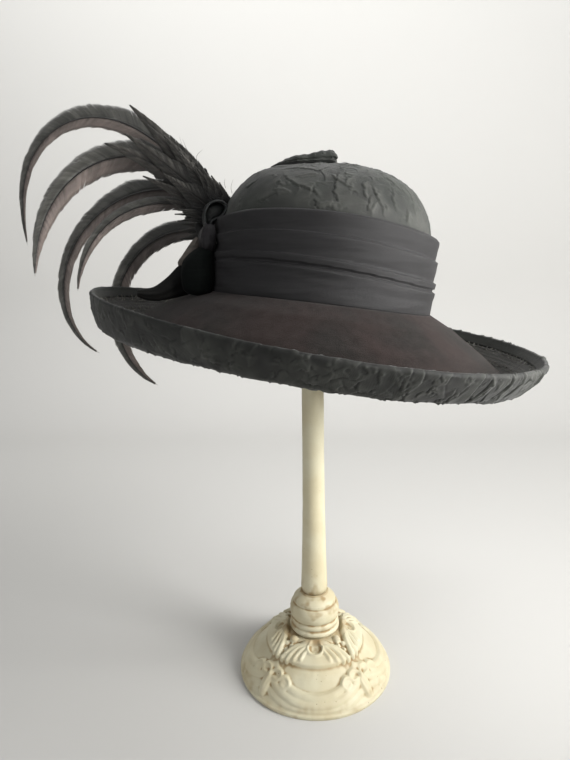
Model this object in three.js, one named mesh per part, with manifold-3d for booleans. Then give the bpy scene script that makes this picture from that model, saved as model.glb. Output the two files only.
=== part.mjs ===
// A feathered hat resting on a turned hat stand. Millimetres, +Z up.
// The origin is the middle of the stand's underside. The hat's front points along +X.

import * as THREE from 'three';
import { mergeVertices } from 'three/addons/utils/BufferGeometryUtils.js';
import Module from 'manifold-3d';

const wasm = await Module();
wasm.setup();

const { degToRad, lerp, clamp, smoothstep } = THREE.MathUtils;
const FULL_TURN = 2 * Math.PI;

// Clear space kept between pieces that touch on the real thing.
const GAP = 0.4;

// Steps round the head for the crown and the band, and round the brim.
const HEAD_STEPS = 44;
const BRIM_STEPS = 56;

// The hat's place on the stand: the middle of the head opening, and how far the front dips.
const HAT_X = 5.5;
const HAT_HEIGHT = 372.5;
const FRONT_DIP = degToRad(7.5);
const NEAR_SIDE_LIFT = degToRad(0.5);

// The head oval at the foot of the band, and how much narrower than long the hat is.
const HEAD_HALF_LENGTH = 99.5;
const HEAD_HALF_WIDTH = 87.5;
const CROWN_ROUNDNESS = 0.88;

// The crown: a 2 mm wall that leans in a little, then rounds over, fullest towards the front.
const CROWN_HEIGHT = 113;
const CROWN_WALL = 2;
const SHOULDER_HEIGHT = 49;
const CROWN_FOOT_HALF_LENGTH = 95.2;
const SHOULDER_HALF_LENGTH = 91.5;
const DOME_RISE_POWER = 2.23;
const DOME_PLAN_POWER = 2.04;
const DOME_FRONT_FULLNESS = 5;

// The band: its height, the saddle of its two edges, its lean and its folds.
const BAND_HEIGHT = 64;
const BAND_LEAN = 3;
const BAND_FOOT_SADDLE = 2;
const BAND_TOP_SADDLE = 4.5;
const BAND_GATHER_AT_BOW = 3;

// The brim, from the head oval out to the rim's top edge.
const BRIM_REACH = 98;
const RIM_HALF_LENGTH = 197.5;
const RIM_HALF_WIDTH = 178;
const TROUGH_OUT = 76;
const TROUGH_BACK_FULLNESS = 7;
const FELT_THICKNESS = 2;
const COVER_THICKNESS = 1.8;

// The stand.
const FOOT_RADIUS = 76;
const FOOT_TOP = 44.2;
const COLLAR_TOP = 84.2;
const STEM_TOP = 449;
const PAD_RADIUS = 40;
const FRONT_SHELL_ANGLE = degToRad(-95);
const RELIEF_HEIGHT = 2.4;

const hat = new THREE.Group();
hat.position.set(HAT_X, 0, HAT_HEIGHT);
hat.rotation.set(-NEAR_SIDE_LIFT, FRONT_DIP, 0);

const stand = new THREE.Group();

// Materials.

function finish(red, green, blue, roughness, metalness = 0) {
  const color = new THREE.Color().setRGB(red / 255, green / 255, blue / 255, THREE.SRGBColorSpace);
  return new THREE.MeshStandardMaterial({ color, roughness, metalness });
}

const embossedFabric = () => finish(66, 67, 64, 0.8);
const bandSatin = () => finish(50, 50, 50, 0.5);
const brownFelt = () => finish(62, 57, 54, 0.95);
const wovenBraid = () => finish(58, 57, 53, 0.85);
const bowSatin = () => finish(21, 25, 24, 0.45);
const featherVane = () => finish(70, 66, 60, 0.6);
const creamPaint = () => finish(214, 204, 176, 0.55);

// Geometry helpers.

function geometryFrom(points, triangles) {
  const geometry = new THREE.BufferGeometry().setFromPoints(points);
  geometry.setIndex(triangles);
  return geometry;
}

// Six times the volume inside a set of triangles, below zero when their faces point inwards.
function signedVolume(points, triangles) {
  let total = 0;
  for (let index = 0; index < triangles.length; index += 3) {
    const [a, b, c] = triangles.slice(index, index + 3).map((corner) => points[corner]);
    total += a.dot(b.clone().cross(c));
  }
  return total;
}

// One closed body through a row of closed loops with equally many points.
// A ring's last loop meets its first. Other rows are closed by a fan at each end.
function loft(loops, isRing) {
  const width = loops[0].length;
  const points = loops.flat();
  const triangles = [];
  const spans = isRing ? loops.length : loops.length - 1;
  for (let span = 0; span < spans; span += 1) {
    const here = span * width;
    const next = ((span + 1) % loops.length) * width;
    for (let column = 0; column < width; column += 1) {
      const beside = (column + 1) % width;
      triangles.push(here + column, here + beside, next + beside);
      triangles.push(here + column, next + beside, next + column);
    }
  }
  if (!isRing) {
    for (const [loop, start, turn] of [[loops[0], 0, 1], [loops.at(-1), spans * width, -1]]) {
      const middle = loop.reduce((sum, point) => sum.add(point), new THREE.Vector3());
      const tip = points.push(middle.divideScalar(width)) - 1;
      for (let column = 0; column < width; column += 1) {
        const pair = [start + column, start + ((column + 1) % width)];
        triangles.push(tip, ...(turn > 0 ? pair.reverse() : pair));
      }
    }
  }
  if (signedVolume(points, triangles) < 0) {
    triangles.reverse();
  }
  return geometryFrom(points, triangles);
}

// A ring round the head: `section` gives the closed cross-section at each angle.
function ringRound(steps, section) {
  const loops = [];
  for (let step = 0; step < steps; step += 1) {
    loops.push(section((FULL_TURN * step) / steps, step));
  }
  return loft(loops, true);
}

// The value at `along`, from 0 to 1, of a table of evenly spaced values joined by straight lines.
function between(values, along) {
  const place = clamp(along, 0, 1) * (values.length - 1);
  const low = Math.min(Math.floor(place), values.length - 2);
  return lerp(values[low], values[low + 1], place - low);
}

// The smooth curve through three or four evenly spaced values.
function curveThrough(values, along) {
  const last = values.length - 1;
  return values.reduce((sum, value, index) => {
    const others = values.map((_, other) => other).filter((other) => other !== index);
    const weight = others.reduce((product, other) => (product * (along * last - other)) / (index - other), 1);
    return sum + value * weight;
  }, 0);
}

function toSolid(geometry) {
  const bare = geometry.clone();
  bare.deleteAttribute('normal');
  bare.deleteAttribute('uv');
  const merged = mergeVertices(bare, 1e-4);
  const mesh = new wasm.Mesh({
    numProp: 3,
    vertProperties: new Float32Array(merged.attributes.position.array),
    triVerts: new Uint32Array(merged.index.array),
  });
  return new wasm.Manifold(mesh);
}

function fromSolid(solid) {
  const mesh = solid.getMesh();
  const geometry = new THREE.BufferGeometry();
  geometry.setAttribute('position', new THREE.BufferAttribute(mesh.vertProperties, 3));
  geometry.setIndex(new THREE.BufferAttribute(mesh.triVerts, 1));
  return geometry;
}

function addPiece(parent, name, geometry, material) {
  const mesh = new THREE.Mesh(geometry, material);
  mesh.name = name;
  parent.add(mesh);
  return mesh;
}

// Crown.

// Half length of the crown's outside at a height.
function crownHalfLength(height) {
  if (height <= SHOULDER_HEIGHT) {
    return lerp(CROWN_FOOT_HALF_LENGTH, SHOULDER_HALF_LENGTH, height / SHOULDER_HEIGHT);
  }
  const rise = clamp((height - SHOULDER_HEIGHT) / (CROWN_HEIGHT - SHOULDER_HEIGHT), 0, 1);
  return SHOULDER_HALF_LENGTH * (1 - rise ** DOME_RISE_POWER) ** (1 / DOME_PLAN_POWER);
}

// How far the front half of the dome stands up above an even one.
function frontFullness(x, height) {
  return DOME_FRONT_FULLNESS * smoothstep(x, -20, 60) * smoothstep(height, SHOULDER_HEIGHT, 100);
}

function crownPoint(angle, height, halfLength) {
  const saddle = BAND_FOOT_SADDLE * Math.cos(2 * angle) * clamp(1 - height / SHOULDER_HEIGHT, 0, 1);
  const x = halfLength * Math.cos(angle);
  const y = halfLength * CROWN_ROUNDNESS * Math.sin(angle);
  return new THREE.Vector3(x, y, height - saddle + frontFullness(x, height));
}

// Height of the crown's outside above a place on its top.
function crownTopAt(x, y) {
  const reach = Math.hypot(x, y / CROWN_ROUNDNESS) / SHOULDER_HALF_LENGTH;
  const rise = (1 - reach ** DOME_PLAN_POWER) ** (1 / DOME_RISE_POWER);
  const height = SHOULDER_HEIGHT + (CROWN_HEIGHT - SHOULDER_HEIGHT) * rise;
  return height + frontFullness(x, height);
}

function crownGeometry() {
  const foot = GAP;
  const outsideHeights = [112.4, 110, 105, 97, 86, 72, 58, 44, 22, foot];
  const insideHeights = [foot, 24, SHOULDER_HEIGHT, 68, 86, 99, 107, 110.4];
  const ovalAt = (height, inset) => {
    const outside = Math.max(crownHalfLength(height + (height > SHOULDER_HEIGHT ? inset * 0.9 : 0)), 6);
    const loop = [];
    for (let step = 0; step < HEAD_STEPS; step += 1) {
      loop.push(crownPoint((FULL_TURN * step) / HEAD_STEPS, height, outside - inset));
    }
    return loop;
  };
  const outside = outsideHeights.map((height) => ovalAt(height, 0));
  const inside = insideHeights.map((height) => ovalAt(height, CROWN_WALL));
  return loft([...outside, ...inside], false);
}

// The flat folded loop on top: thickness and half depth along its length.
function crownTabGeometry() {
  const rows = [
    { x: -58, thick: 1.0, deep: 4 },
    { x: -50, thick: 3, deep: 9 },
    { x: -38, thick: 5.4, deep: 12.5 },
    { x: -26, thick: 7, deep: 14 },
    { x: -14, thick: 8.4, deep: 14.5 },
    { x: -6, thick: 9.4, deep: 14 },
    { x: -2, thick: 8.6, deep: 12.5 },
    { x: 0.5, thick: 5, deep: 10.5 },
  ];
  const across = [-1, -0.6, 0, 0.6, 1];
  const seat = 2 * GAP;
  return loft(rows.map(({ x, thick, deep }) => {
    const under = across.map((side) => new THREE.Vector3(x, side * deep, crownTopAt(x, side * deep) + seat));
    const over = across.toReversed().map((side) => {
      const crest = thick * (1 - 0.55 * side ** 4);
      return new THREE.Vector3(x, side * deep * 0.97, crownTopAt(x, 0) + seat + crest);
    });
    return [...under, ...over];
  }), false);
}

// Band.

// Each fold's height as a share of the band's, at the back and at the front,
// and how far the cloth stands out just under it.
const FOLDS = [
  { back: 0.41, front: 0.30, proud: 0.6 },
  { back: 0.53, front: 0.43, proud: 1.1 },
  { back: 0.77, front: 0.72, proud: 0.8 },
];
const FOLD_LIP = 0.025;
const FOLD_TUCK = 0.6;

function bandPoint(angle, share, proud) {
  const lean = proud - BAND_LEAN * share;
  const low = -BAND_FOOT_SADDLE * Math.cos(2 * angle);
  const gathered = BAND_GATHER_AT_BOW * smoothstep(-Math.cos(angle), 0.6, 1);
  const high = BAND_HEIGHT - BAND_TOP_SADDLE * Math.cos(2 * angle) - gathered;
  return new THREE.Vector3(
    (HEAD_HALF_LENGTH + lean) * Math.cos(angle),
    (HEAD_HALF_WIDTH + lean) * Math.sin(angle),
    lerp(low, high, share),
  );
}

function hatbandGeometry() {
  return ringRound(HEAD_STEPS, (angle) => {
    const outside = [bandPoint(angle, 0, -0.8), bandPoint(angle, 0.04, 0)];
    for (const { back, front, proud } of FOLDS) {
      const share = lerp(front, back, 0.5 - 0.5 * Math.cos(angle));
      outside.push(bandPoint(angle, share - FOLD_LIP, proud));
      outside.push(bandPoint(angle, share + FOLD_LIP, -FOLD_TUCK));
    }
    outside.push(bandPoint(angle, 0.94, 0.5), bandPoint(angle, 1, -1));
    const top = outside.at(-1).z;
    const inside = [top - 1, SHOULDER_HEIGHT, outside[0].z + 3].map((height) => {
      return crownPoint(angle, height, crownHalfLength(height) + 1.2);
    });
    inside[0].z = top - 1;
    return [...outside, ...inside];
  });
}

// Brim.

// A point of the brim: `out` runs from 0 at the head oval to BRIM_REACH at the rim, and `down` is
// the depth below the head oval on a level brim. The three lines that the brim follows, at the
// head, along the trough and at the rim, each rise and fall round the hat.
function brimPoint(angle, out, down) {
  const share = out / BRIM_REACH;
  const atTrough = TROUGH_OUT / BRIM_REACH;
  const headWeight = clamp(1 - share / atTrough, 0, 1);
  const rimWeight = clamp((share - atTrough) / (1 - atTrough), 0, 1);
  const headLine = -BAND_FOOT_SADDLE * Math.cos(2 * angle);
  const troughLine = -5.5 * Math.cos(angle) - 1.2 * Math.sin(angle);
  const rimDip = -6.6 * Math.cos(angle) + 1.7 * Math.sin(angle);
  const rimSaddle = 2 * Math.cos(2 * angle) + 2.2 * Math.sin(2 * angle);
  const rimLine = rimDip + rimSaddle;
  const wave = headWeight * headLine + rimWeight * rimLine + (1 - headWeight - rimWeight) * troughLine;
  return new THREE.Vector3(
    lerp(HEAD_HALF_LENGTH, RIM_HALF_LENGTH, share) * Math.cos(angle) + 1.7 * share,
    lerp(HEAD_HALF_WIDTH, RIM_HALF_WIDTH, share) * Math.sin(angle),
    wave - down,
  );
}

// Depth of the felt's upper side along the slope, from under the crown to the trough.
const FELT_SLOPE = [
  { out: -5.5, down: 0.4 },
  { out: 0, down: 0.6 },
  { out: 20, down: 10 },
  { out: 48, down: 27.3 },
  { out: 72, down: 44.2 },
];

function brimFeltGeometry() {
  return ringRound(BRIM_STEPS, (angle) => {
    const upper = FELT_SLOPE.map(({ out, down }) => brimPoint(angle, out, down));
    const lower = FELT_SLOPE.map(({ out, down }) => brimPoint(angle, out, down + FELT_THICKNESS));
    return [...upper, ...lower.reverse()];
  });
}

// The cover's rim, from the bottom of the trough up the outside, over the edge and down the inside.
// `gathered` is the share of the gathers' depth, and `full` that of the extra fullness at the back.
const RIM_OUTSIDE = [
  { out: 76, down: 50.2, gathered: 0, full: 0.7 },
  { out: 83, down: 47.4, gathered: 0.5, full: 1 },
  { out: 92, down: 35, gathered: 1, full: 0.5 },
  { out: 97.6, down: 23, gathered: 1, full: 0 },
  { out: 96.8, down: 20, gathered: 0.6, full: 0 },
  { out: 94.2, down: 20.6, gathered: 0.3, full: 0 },
];
const RIM_INSIDE = [
  { out: 87.2, down: 33.4, full: 0.4 },
  { out: 88.6, down: 35.4, full: 0.4 },
  { out: 80, down: 47, full: 0.9 },
  { out: 76, down: 48.2, full: 0.6 },
];
const RIM_GATHER = 0.6;

// The rim's lower half stands fuller at the back of the hat, where the rim is steepest.
function backFullness(angle) {
  return TROUGH_BACK_FULLNESS * smoothstep(-Math.cos(angle), 0.5, 1);
}

function brimCoverGeometry() {
  const underFelt = FELT_THICKNESS + GAP;
  const slope = FELT_SLOPE.filter((_, index) => index !== 1);
  return ringRound(BRIM_STEPS, (angle, step) => {
    const gather = step % 2 === 0 ? RIM_GATHER : -RIM_GATHER;
    const lower = slope.map(({ out, down }) => brimPoint(angle, out, down + underFelt + COVER_THICKNESS));
    const back = backFullness(angle);
    const outside = RIM_OUTSIDE.map(({ out, down, gathered, full }) => {
      return brimPoint(angle, out + gather * gathered + back * full, down);
    });
    const inside = RIM_INSIDE.map(({ out, down, full }) => brimPoint(angle, out + back * full, down));
    const upper = slope.map(({ out, down }) => brimPoint(angle, out, down + underFelt));
    return [...lower, ...outside, ...inside, ...upper.reverse()];
  });
}

// The woven strip inside the rim, below the folded-over edge.
function rimBraidGeometry() {
  const face = [
    { out: 87.4, down: 35.8, full: 0.4 },
    { out: 79.2, down: 46.4, full: 0.85 },
  ];
  const thickness = 1.1;
  return ringRound(BRIM_STEPS, (angle) => {
    const layer = (offset) => face.map(({ out, down, full }) => {
      return brimPoint(angle, out + backFullness(angle) * full - offset, down - offset * 0.5);
    });
    return [...layer(GAP), ...layer(GAP + thickness).reverse()];
  });
}

// Bow. It is built in a frame on the band: x out from the band, y round it to the near side, z up.

const BOW_ANGLE = degToRad(198);
const BOW_FACING = degToRad(200.3);

function bowGroup() {
  const group = new THREE.Group();
  const foot = bandPoint(BOW_ANGLE, 0, 0);
  group.position.set(foot.x, foot.y, 0);
  group.rotation.z = BOW_FACING;
  return group;
}

// A soft rolled form: oval sections at heights z, at `out` and `side`, with half sizes.
function rolledForm(rows, sides) {
  return loft(rows.map(({ out, side, z, halfOut, halfSide }) => {
    const loop = [];
    for (let step = 0; step < sides; step += 1) {
      const angle = (FULL_TURN * step) / sides;
      const x = out + halfOut * Math.cos(angle);
      loop.push(new THREE.Vector3(x, side + halfSide * Math.sin(angle), z));
    }
    return loop;
  }), false);
}

// A ribbon loop: a strip standing out from the band, carried round a teardrop. The loop turns
// inwards a little on its near side, as the band does.
function bowUpperLoopGeometry() {
  const steps = 18;
  const halfWidth = 13;
  const middle = 14.5;
  const foot = 45;
  const height = 27;
  const strip = 2;
  const near = 1.2;
  const deep = 5;
  const turnIn = 0.38;
  const loops = [];
  for (let step = 0; step < steps; step += 1) {
    const angle = (FULL_TURN * step) / steps;
    const rise = 0.5 - 0.5 * Math.cos(angle);
    const swell = Math.sin(angle) * rise ** 0.6;
    const inner = 1 - strip / halfWidth;
    const at = (out, scale) => {
      const across = halfWidth * swell * scale;
      const z = foot + height * (0.5 + (rise - 0.5) * (1 - (1 - scale) * 0.7));
      return new THREE.Vector3(out - turnIn * across, middle + across, z);
    };
    loops.push([at(near, 1), at(near + deep, 1), at(near + deep, inner), at(near, inner)]);
  }
  return loft(loops, true);
}

function bowKnotGeometry() {
  return rolledForm([
    { out: 6, side: 9, z: 29, halfOut: 3, halfSide: 6 },
    { out: 6.2, side: 9, z: 32.5, halfOut: 4.6, halfSide: 10 },
    { out: 6.4, side: 8, z: 37, halfOut: 5, halfSide: 11.5 },
    { out: 6.4, side: 8, z: 41, halfOut: 4.6, halfSide: 10 },
    { out: 6.4, side: 9, z: 44.2, halfOut: 3, halfSide: 6 },
  ], 10);
}

function bowLowerLoopGeometry() {
  return rolledForm([
    { out: 12, side: 7, z: -5, halfOut: 3.5, halfSide: 8 },
    { out: 12.5, side: 7, z: -1.6, halfOut: 8.8, halfSide: 13 },
    { out: 13, side: 6, z: 8, halfOut: 11, halfSide: 16 },
    { out: 14, side: 4, z: 18, halfOut: 12, halfSide: 14.5 },
    { out: 12, side: 3, z: 24.5, halfOut: 10, halfSide: 11 },
    { out: 10, side: 4, z: 28.4, halfOut: 6, halfSide: 6 },
  ], 12);
}

// The tail lies out over the brim: sections along x, each an oval in y and z.
function bowTailGeometry() {
  const rows = [
    { x: 25.2, y: 2, z: 0, halfWide: 5, halfThick: 9 },
    { x: 28, y: 1, z: -1, halfWide: 7.5, halfThick: 11 },
    { x: 35, y: -1, z: -4, halfWide: 7, halfThick: 9 },
    { x: 42, y: -4, z: -7.5, halfWide: 5, halfThick: 6 },
    { x: 48, y: -6, z: -10, halfWide: 2.4, halfThick: 2.4 },
  ];
  const sides = 10;
  return loft(rows.map(({ x, y, z, halfWide, halfThick }) => {
    const loop = [];
    for (let step = 0; step < sides; step += 1) {
      const angle = (FULL_TURN * step) / sides;
      loop.push(new THREE.Vector3(x, y + halfWide * Math.cos(angle), z + halfThick * Math.sin(angle)));
    }
    return loop;
  }), false);
}

// Feathers.

// Each long feather: where its quill leaves the plume head, its length, its heading in degrees
// seen from the near side (90 is up, 180 is to the back) at four even stations, its depth from
// the near side at three, its vane's half widths at five, and how far the vane is turned.
const TAIL_FEATHERS = [
  {
    x: -121, z: 92.5, length: 263, heading: [145, 171, 237, 276], depth: [12, 22, 42],
    outer: [4, 12, 11, 6, 0.6], inner: [4, 11, 8.5, 4.5, 0.6], turn: 12,
  },
  {
    x: -119, z: 87.5, length: 208, heading: [143, 194, 242, 277], depth: [5, -4, -20],
    outer: [3, 10, 9, 6, 0.6], inner: [3, 12, 10, 6, 0.6], turn: -14,
  },
  {
    x: -117, z: 76, length: 247, heading: [164, 216, 264, 340], depth: [1, 12, 14],
    outer: [3, 9, 7, 5, 0.6], inner: [3, 10, 6, 4, 0.6], turn: 10,
  },
  {
    x: -115.5, z: 66.5, length: 144, heading: [174, 203, 239, 272], depth: [-6, -13, -20],
    outer: [3, 5, 5, 3.5, 0.6], inner: [3, 6, 5, 3.5, 0.6], turn: -10,
  },
  {
    x: -115, z: 46, length: 230, heading: [177, 231, 279, 338], depth: [16, 58, 74],
    outer: [3, 8, 7, 5, 0.6], inner: [3, 9, 8, 5, 0.6], turn: 8,
  },
];

// Short hackles, and the fine wisp behind them, that spring from the plume head.
const HACKLES = [
  {
    x: -92, z: 82, length: 117, heading: [156, 149, 140, 142], depth: [-2, -6, -8],
    outer: [4, 8, 7, 4, 0.6], inner: [4, 10, 9, 5, 0.6], turn: 8,
  },
  {
    x: -94, z: 76, length: 110, heading: [150, 156, 163, 172], depth: [-6, -15, -22],
    outer: [4, 8, 7, 4, 0.6], inner: [4, 8, 7, 4, 0.6], turn: -8,
  },
  {
    x: -96, z: 69, length: 70, heading: [160, 164, 170, 176], depth: [-3, -17, -23],
    outer: [3, 7, 6, 4, 0.6], inner: [3, 7, 6, 4, 0.6], turn: -6,
  },
  {
    x: -95, z: 85, length: 62, heading: [160, 145, 135, 125], depth: [4, 10, 12],
    outer: [2, 4, 3, 2, 0.6], inner: [2, 4, 3, 2, 0.6], turn: 0,
  },
];

// A feather's solid: a quill ridge down the middle of a thin vane whose edges curve back.
function featherGeometry(feather, steps) {
  const quill = 1.3;
  const edge = 0.6;
  const loops = [];
  const spot = new THREE.Vector2(feather.x, feather.z);
  const turn = degToRad(feather.turn);
  for (let step = 0; step <= steps; step += 1) {
    const along = step / steps;
    const heading = degToRad(curveThrough(feather.heading, along));
    const centre = new THREE.Vector3(spot.x, curveThrough(feather.depth, along), spot.y);
    const outward = new THREE.Vector3(Math.sin(heading), 0, -Math.cos(heading));
    outward.multiplyScalar(Math.cos(turn)).add(new THREE.Vector3(0, Math.sin(turn), 0));
    const near = new THREE.Vector3(0, -1, 0);
    const thin = lerp(1, 0.5, along);
    const at = (wide, toward) => centre.clone().addScaledVector(outward, wide).addScaledVector(near, toward);
    const outer = between(feather.outer, along);
    const inner = between(feather.inner, along);
    const curl = -0.12 * (outer + inner);
    loops.push([
      at(outer, curl + edge), at(0, quill * thin), at(-inner, curl + edge),
      at(-inner, curl - edge), at(0, -quill * thin), at(outer, curl - edge),
    ]);
    const ahead = degToRad(curveThrough(feather.heading, along + 0.5 / steps));
    spot.x += (Math.cos(ahead) * feather.length) / steps;
    spot.y += (Math.sin(ahead) * feather.length) / steps;
  }
  return loft(loops, false);
}

// Room kept free for the crown and the band where the plume head lies against them.
function headClearance() {
  const rows = [
    { height: -20, halfLength: 102.5 },
    { height: 61, halfLength: 100.5 },
    { height: 61.5, halfLength: 93 },
    { height: 74, halfLength: 88.5 },
    { height: 90, halfLength: 76 },
    { height: 115, halfLength: 50 },
  ];
  const loops = rows.map(({ height, halfLength }) => {
    const loop = [];
    for (let step = 0; step < HEAD_STEPS; step += 1) {
      const angle = (FULL_TURN * step) / HEAD_STEPS;
      loop.push(new THREE.Vector3(halfLength * Math.cos(angle), (halfLength - 9) * Math.sin(angle), height));
    }
    return loop;
  });
  return toSolid(loft(loops, false));
}

function hackleTuftGeometry() {
  const head = new THREE.SphereGeometry(1, 10, 7);
  head.scale(9, 12, 25);
  head.rotateY(degToRad(12));
  head.translate(-105, 3, 69);
  let tuft = toSolid(head);
  for (const hackle of HACKLES) {
    tuft = tuft.add(toSolid(featherGeometry(hackle, 8)));
  }
  return fromSolid(tuft.subtract(headClearance()));
}

// Stand.

// How far the cast relief stands up at an angle from the front shell and a radius on the foot:
// a ribbed shell, a bow at each eighth and a swag hung between the bows.
function footRelief(fromShell, radius) {
  const quarter = Math.PI / 2;
  const side = fromShell - quarter * Math.round(fromShell / quarter);
  const toBow = Math.abs(side) - quarter / 2;
  const shellReach = Math.hypot(side / 0.42, (radius - 46) / 13);
  const shell = smoothstep(1 - shellReach, 0, 0.35) * (0.8 + 0.2 * Math.cos(side * 42));
  const swagRadius = 63 + 8 * Math.cos(side * 2);
  const swag = smoothstep(1 - Math.abs(radius - swagRadius) / 3.6, 0, 0.6);
  const bow = smoothstep(1 - Math.hypot(toBow / 0.2, (radius - 60) / 6), 0, 0.6);
  return RELIEF_HEIGHT * Math.max(shell, swag * 0.8, bow);
}

const FOOT_PROFILE = [
  { radius: 75.4, height: 0 },
  { radius: FOOT_RADIUS, height: 1 },
  { radius: FOOT_RADIUS, height: 3.6 },
  { radius: 74, height: 4.8 },
  { radius: 71, height: 8 },
  { radius: 67.5, height: 12.6 },
  { radius: 64, height: 16.6 },
  { radius: 60, height: 20.6 },
  { radius: 55, height: 25.2 },
  { radius: 49, height: 30 },
  { radius: 43, height: 34.6 },
  { radius: 36, height: 38.6 },
  { radius: 30.5, height: 41 },
  { radius: 28.5, height: 43 },
  { radius: 24, height: FOOT_TOP },
];
const RELIEF_FROM = 33;
const RELIEF_TO = 74;

function standFootGeometry() {
  const columns = 56;
  return loft(FOOT_PROFILE.map(({ radius, height }) => {
    const loop = [];
    for (let column = 0; column < columns; column += 1) {
      const angle = (FULL_TURN * column) / columns;
      const carved = radius > RELIEF_FROM && radius < RELIEF_TO && height > 4;
      const raised = carved ? footRelief(angle - FRONT_SHELL_ANGLE, radius) : 0;
      const reach = radius + raised * 0.45;
      loop.push(new THREE.Vector3(reach * Math.cos(angle), reach * Math.sin(angle), height + raised * 0.85));
    }
    return loop;
  }), false);
}

// A turned piece from rows of radius and height, closed on the axis at both ends.
function turned(rows, sides) {
  const profile = [[0, rows[0][1]], ...rows, [0, rows.at(-1)[1]]];
  const geometry = new THREE.LatheGeometry(profile.map(([radius, z]) => new THREE.Vector2(radius, z)), sides);
  return geometry.rotateX(Math.PI / 2);
}

function standCollarGeometry() {
  return turned([
    [21, FOOT_TOP + GAP], [21.4, 47], [20.6, 50], [22, 54.6],
    [22.4, 57], [24.3, 61], [24.3, 67], [21.8, 71],
    [20.4, 72.5], [20.8, 75], [19, 79.5], [13.4, COLLAR_TOP],
  ], 24);
}

function standStemGeometry() {
  return turned([
    [13, COLLAR_TOP + GAP], [12.6, 96], [11.3, 128], [10.3, 172], [9.7, 230], [9.4, STEM_TOP],
  ], 20);
}

function standTopGeometry() {
  return turned([
    [11, STEM_TOP + GAP], [28, STEM_TOP + 6], [36, STEM_TOP + 9.5], [PAD_RADIUS, STEM_TOP + 15],
    [39.4, STEM_TOP + 20], [35, STEM_TOP + 25], [25, STEM_TOP + 30], [12, STEM_TOP + 33],
  ], 24);
}

// Assembly.

addPiece(hat, 'crown', crownGeometry(), embossedFabric());
addPiece(hat, 'crown_tab', crownTabGeometry(), embossedFabric());
addPiece(hat, 'hatband', hatbandGeometry(), bandSatin());
addPiece(hat, 'brim_felt', brimFeltGeometry(), brownFelt());
addPiece(hat, 'brim_cover', brimCoverGeometry(), embossedFabric());
addPiece(hat, 'rim_braid', rimBraidGeometry(), wovenBraid());

const bow = bowGroup();
addPiece(bow, 'bow_upper_loop', bowUpperLoopGeometry(), bowSatin());
addPiece(bow, 'bow_knot', bowKnotGeometry(), bowSatin());
addPiece(bow, 'bow_lower_loop', bowLowerLoopGeometry(), bowSatin());
addPiece(bow, 'bow_tail', bowTailGeometry(), bowSatin());
hat.add(bow);

addPiece(hat, 'hackle_tuft', hackleTuftGeometry(), featherVane());
TAIL_FEATHERS.forEach((feather, index) => {
  addPiece(hat, `tail_feather_${index + 1}`, featherGeometry(feather, 16), featherVane());
});

addPiece(stand, 'stand_foot', standFootGeometry(), creamPaint());
addPiece(stand, 'stand_collar', standCollarGeometry(), creamPaint());
addPiece(stand, 'stand_stem', standStemGeometry(), creamPaint());
addPiece(stand, 'stand_top', standTopGeometry(), creamPaint());

const group = new THREE.Group();
group.add(hat, stand);

export default group;
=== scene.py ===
"""A feathered hat on a turned hat stand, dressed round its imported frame.

Sizes are millimetres, in the hat's own frame or the stand's, and become metres when a piece is
made. Angles round the hat start at its front, on +X, and turn towards +Y, its far side.
"""

import logging
import math
from dataclasses import dataclass
from enum import Enum
from typing import Any, Sequence

import bmesh
import bpy
import numpy as np
from mathutils import Matrix, Vector

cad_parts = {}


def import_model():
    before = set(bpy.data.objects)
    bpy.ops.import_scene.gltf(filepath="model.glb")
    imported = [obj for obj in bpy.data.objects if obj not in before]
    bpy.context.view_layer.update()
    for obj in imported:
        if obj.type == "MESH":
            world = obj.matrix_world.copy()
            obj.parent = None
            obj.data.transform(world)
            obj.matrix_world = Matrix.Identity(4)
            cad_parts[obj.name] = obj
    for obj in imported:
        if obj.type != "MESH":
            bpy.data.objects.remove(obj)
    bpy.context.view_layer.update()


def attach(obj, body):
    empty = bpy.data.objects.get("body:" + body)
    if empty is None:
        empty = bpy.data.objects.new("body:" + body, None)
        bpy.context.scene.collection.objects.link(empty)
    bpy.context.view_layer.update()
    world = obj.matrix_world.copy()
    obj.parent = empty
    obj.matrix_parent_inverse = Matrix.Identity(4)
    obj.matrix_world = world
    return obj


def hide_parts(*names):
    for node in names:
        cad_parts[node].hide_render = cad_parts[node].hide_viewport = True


LOG = logging.getLogger("feathered_hat")

BODY = "root"
MM = 0.001
FULL_TURN = 2 * math.pi

Array = np.ndarray
Row = tuple[float, ...]
Rgb = tuple[float, float, float]


# Numbers and curves.


def smooth(value: Any, low: float, high: float) -> Array:
    """Rises softly from 0 at low to 1 at high."""
    share = np.clip((np.asarray(value, float) - low) / (high - low), 0, 1)
    return share * share * (3 - 2 * share)


def mix(first: Any, second: Any, share: Any) -> Any:
    """The value a share of the way from first to second."""
    return first + (second - first) * share


def at_stations(values: Sequence[float], along: Any) -> Array:
    """The value at a share of the way through evenly spaced values joined by straight lines."""
    return np.interp(along, np.linspace(0, 1, len(values)), values)


def curve_through(values: Sequence[float], along: Any) -> Array:
    """The smooth curve through three or four evenly spaced values.

    Args:
        values: The values at even stations.
        along: Shares of the way, from 0 to 1.

    Returns:
        The curve's values there.
    """
    last = len(values) - 1
    place = np.asarray(along, float) * last
    total = np.zeros_like(place)
    for index, value in enumerate(values):
        weight = np.ones_like(place)
        for other in range(len(values)):
            if other != index:
                weight = weight * (place - other) / (index - other)
        total = total + value * weight
    return total


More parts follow.
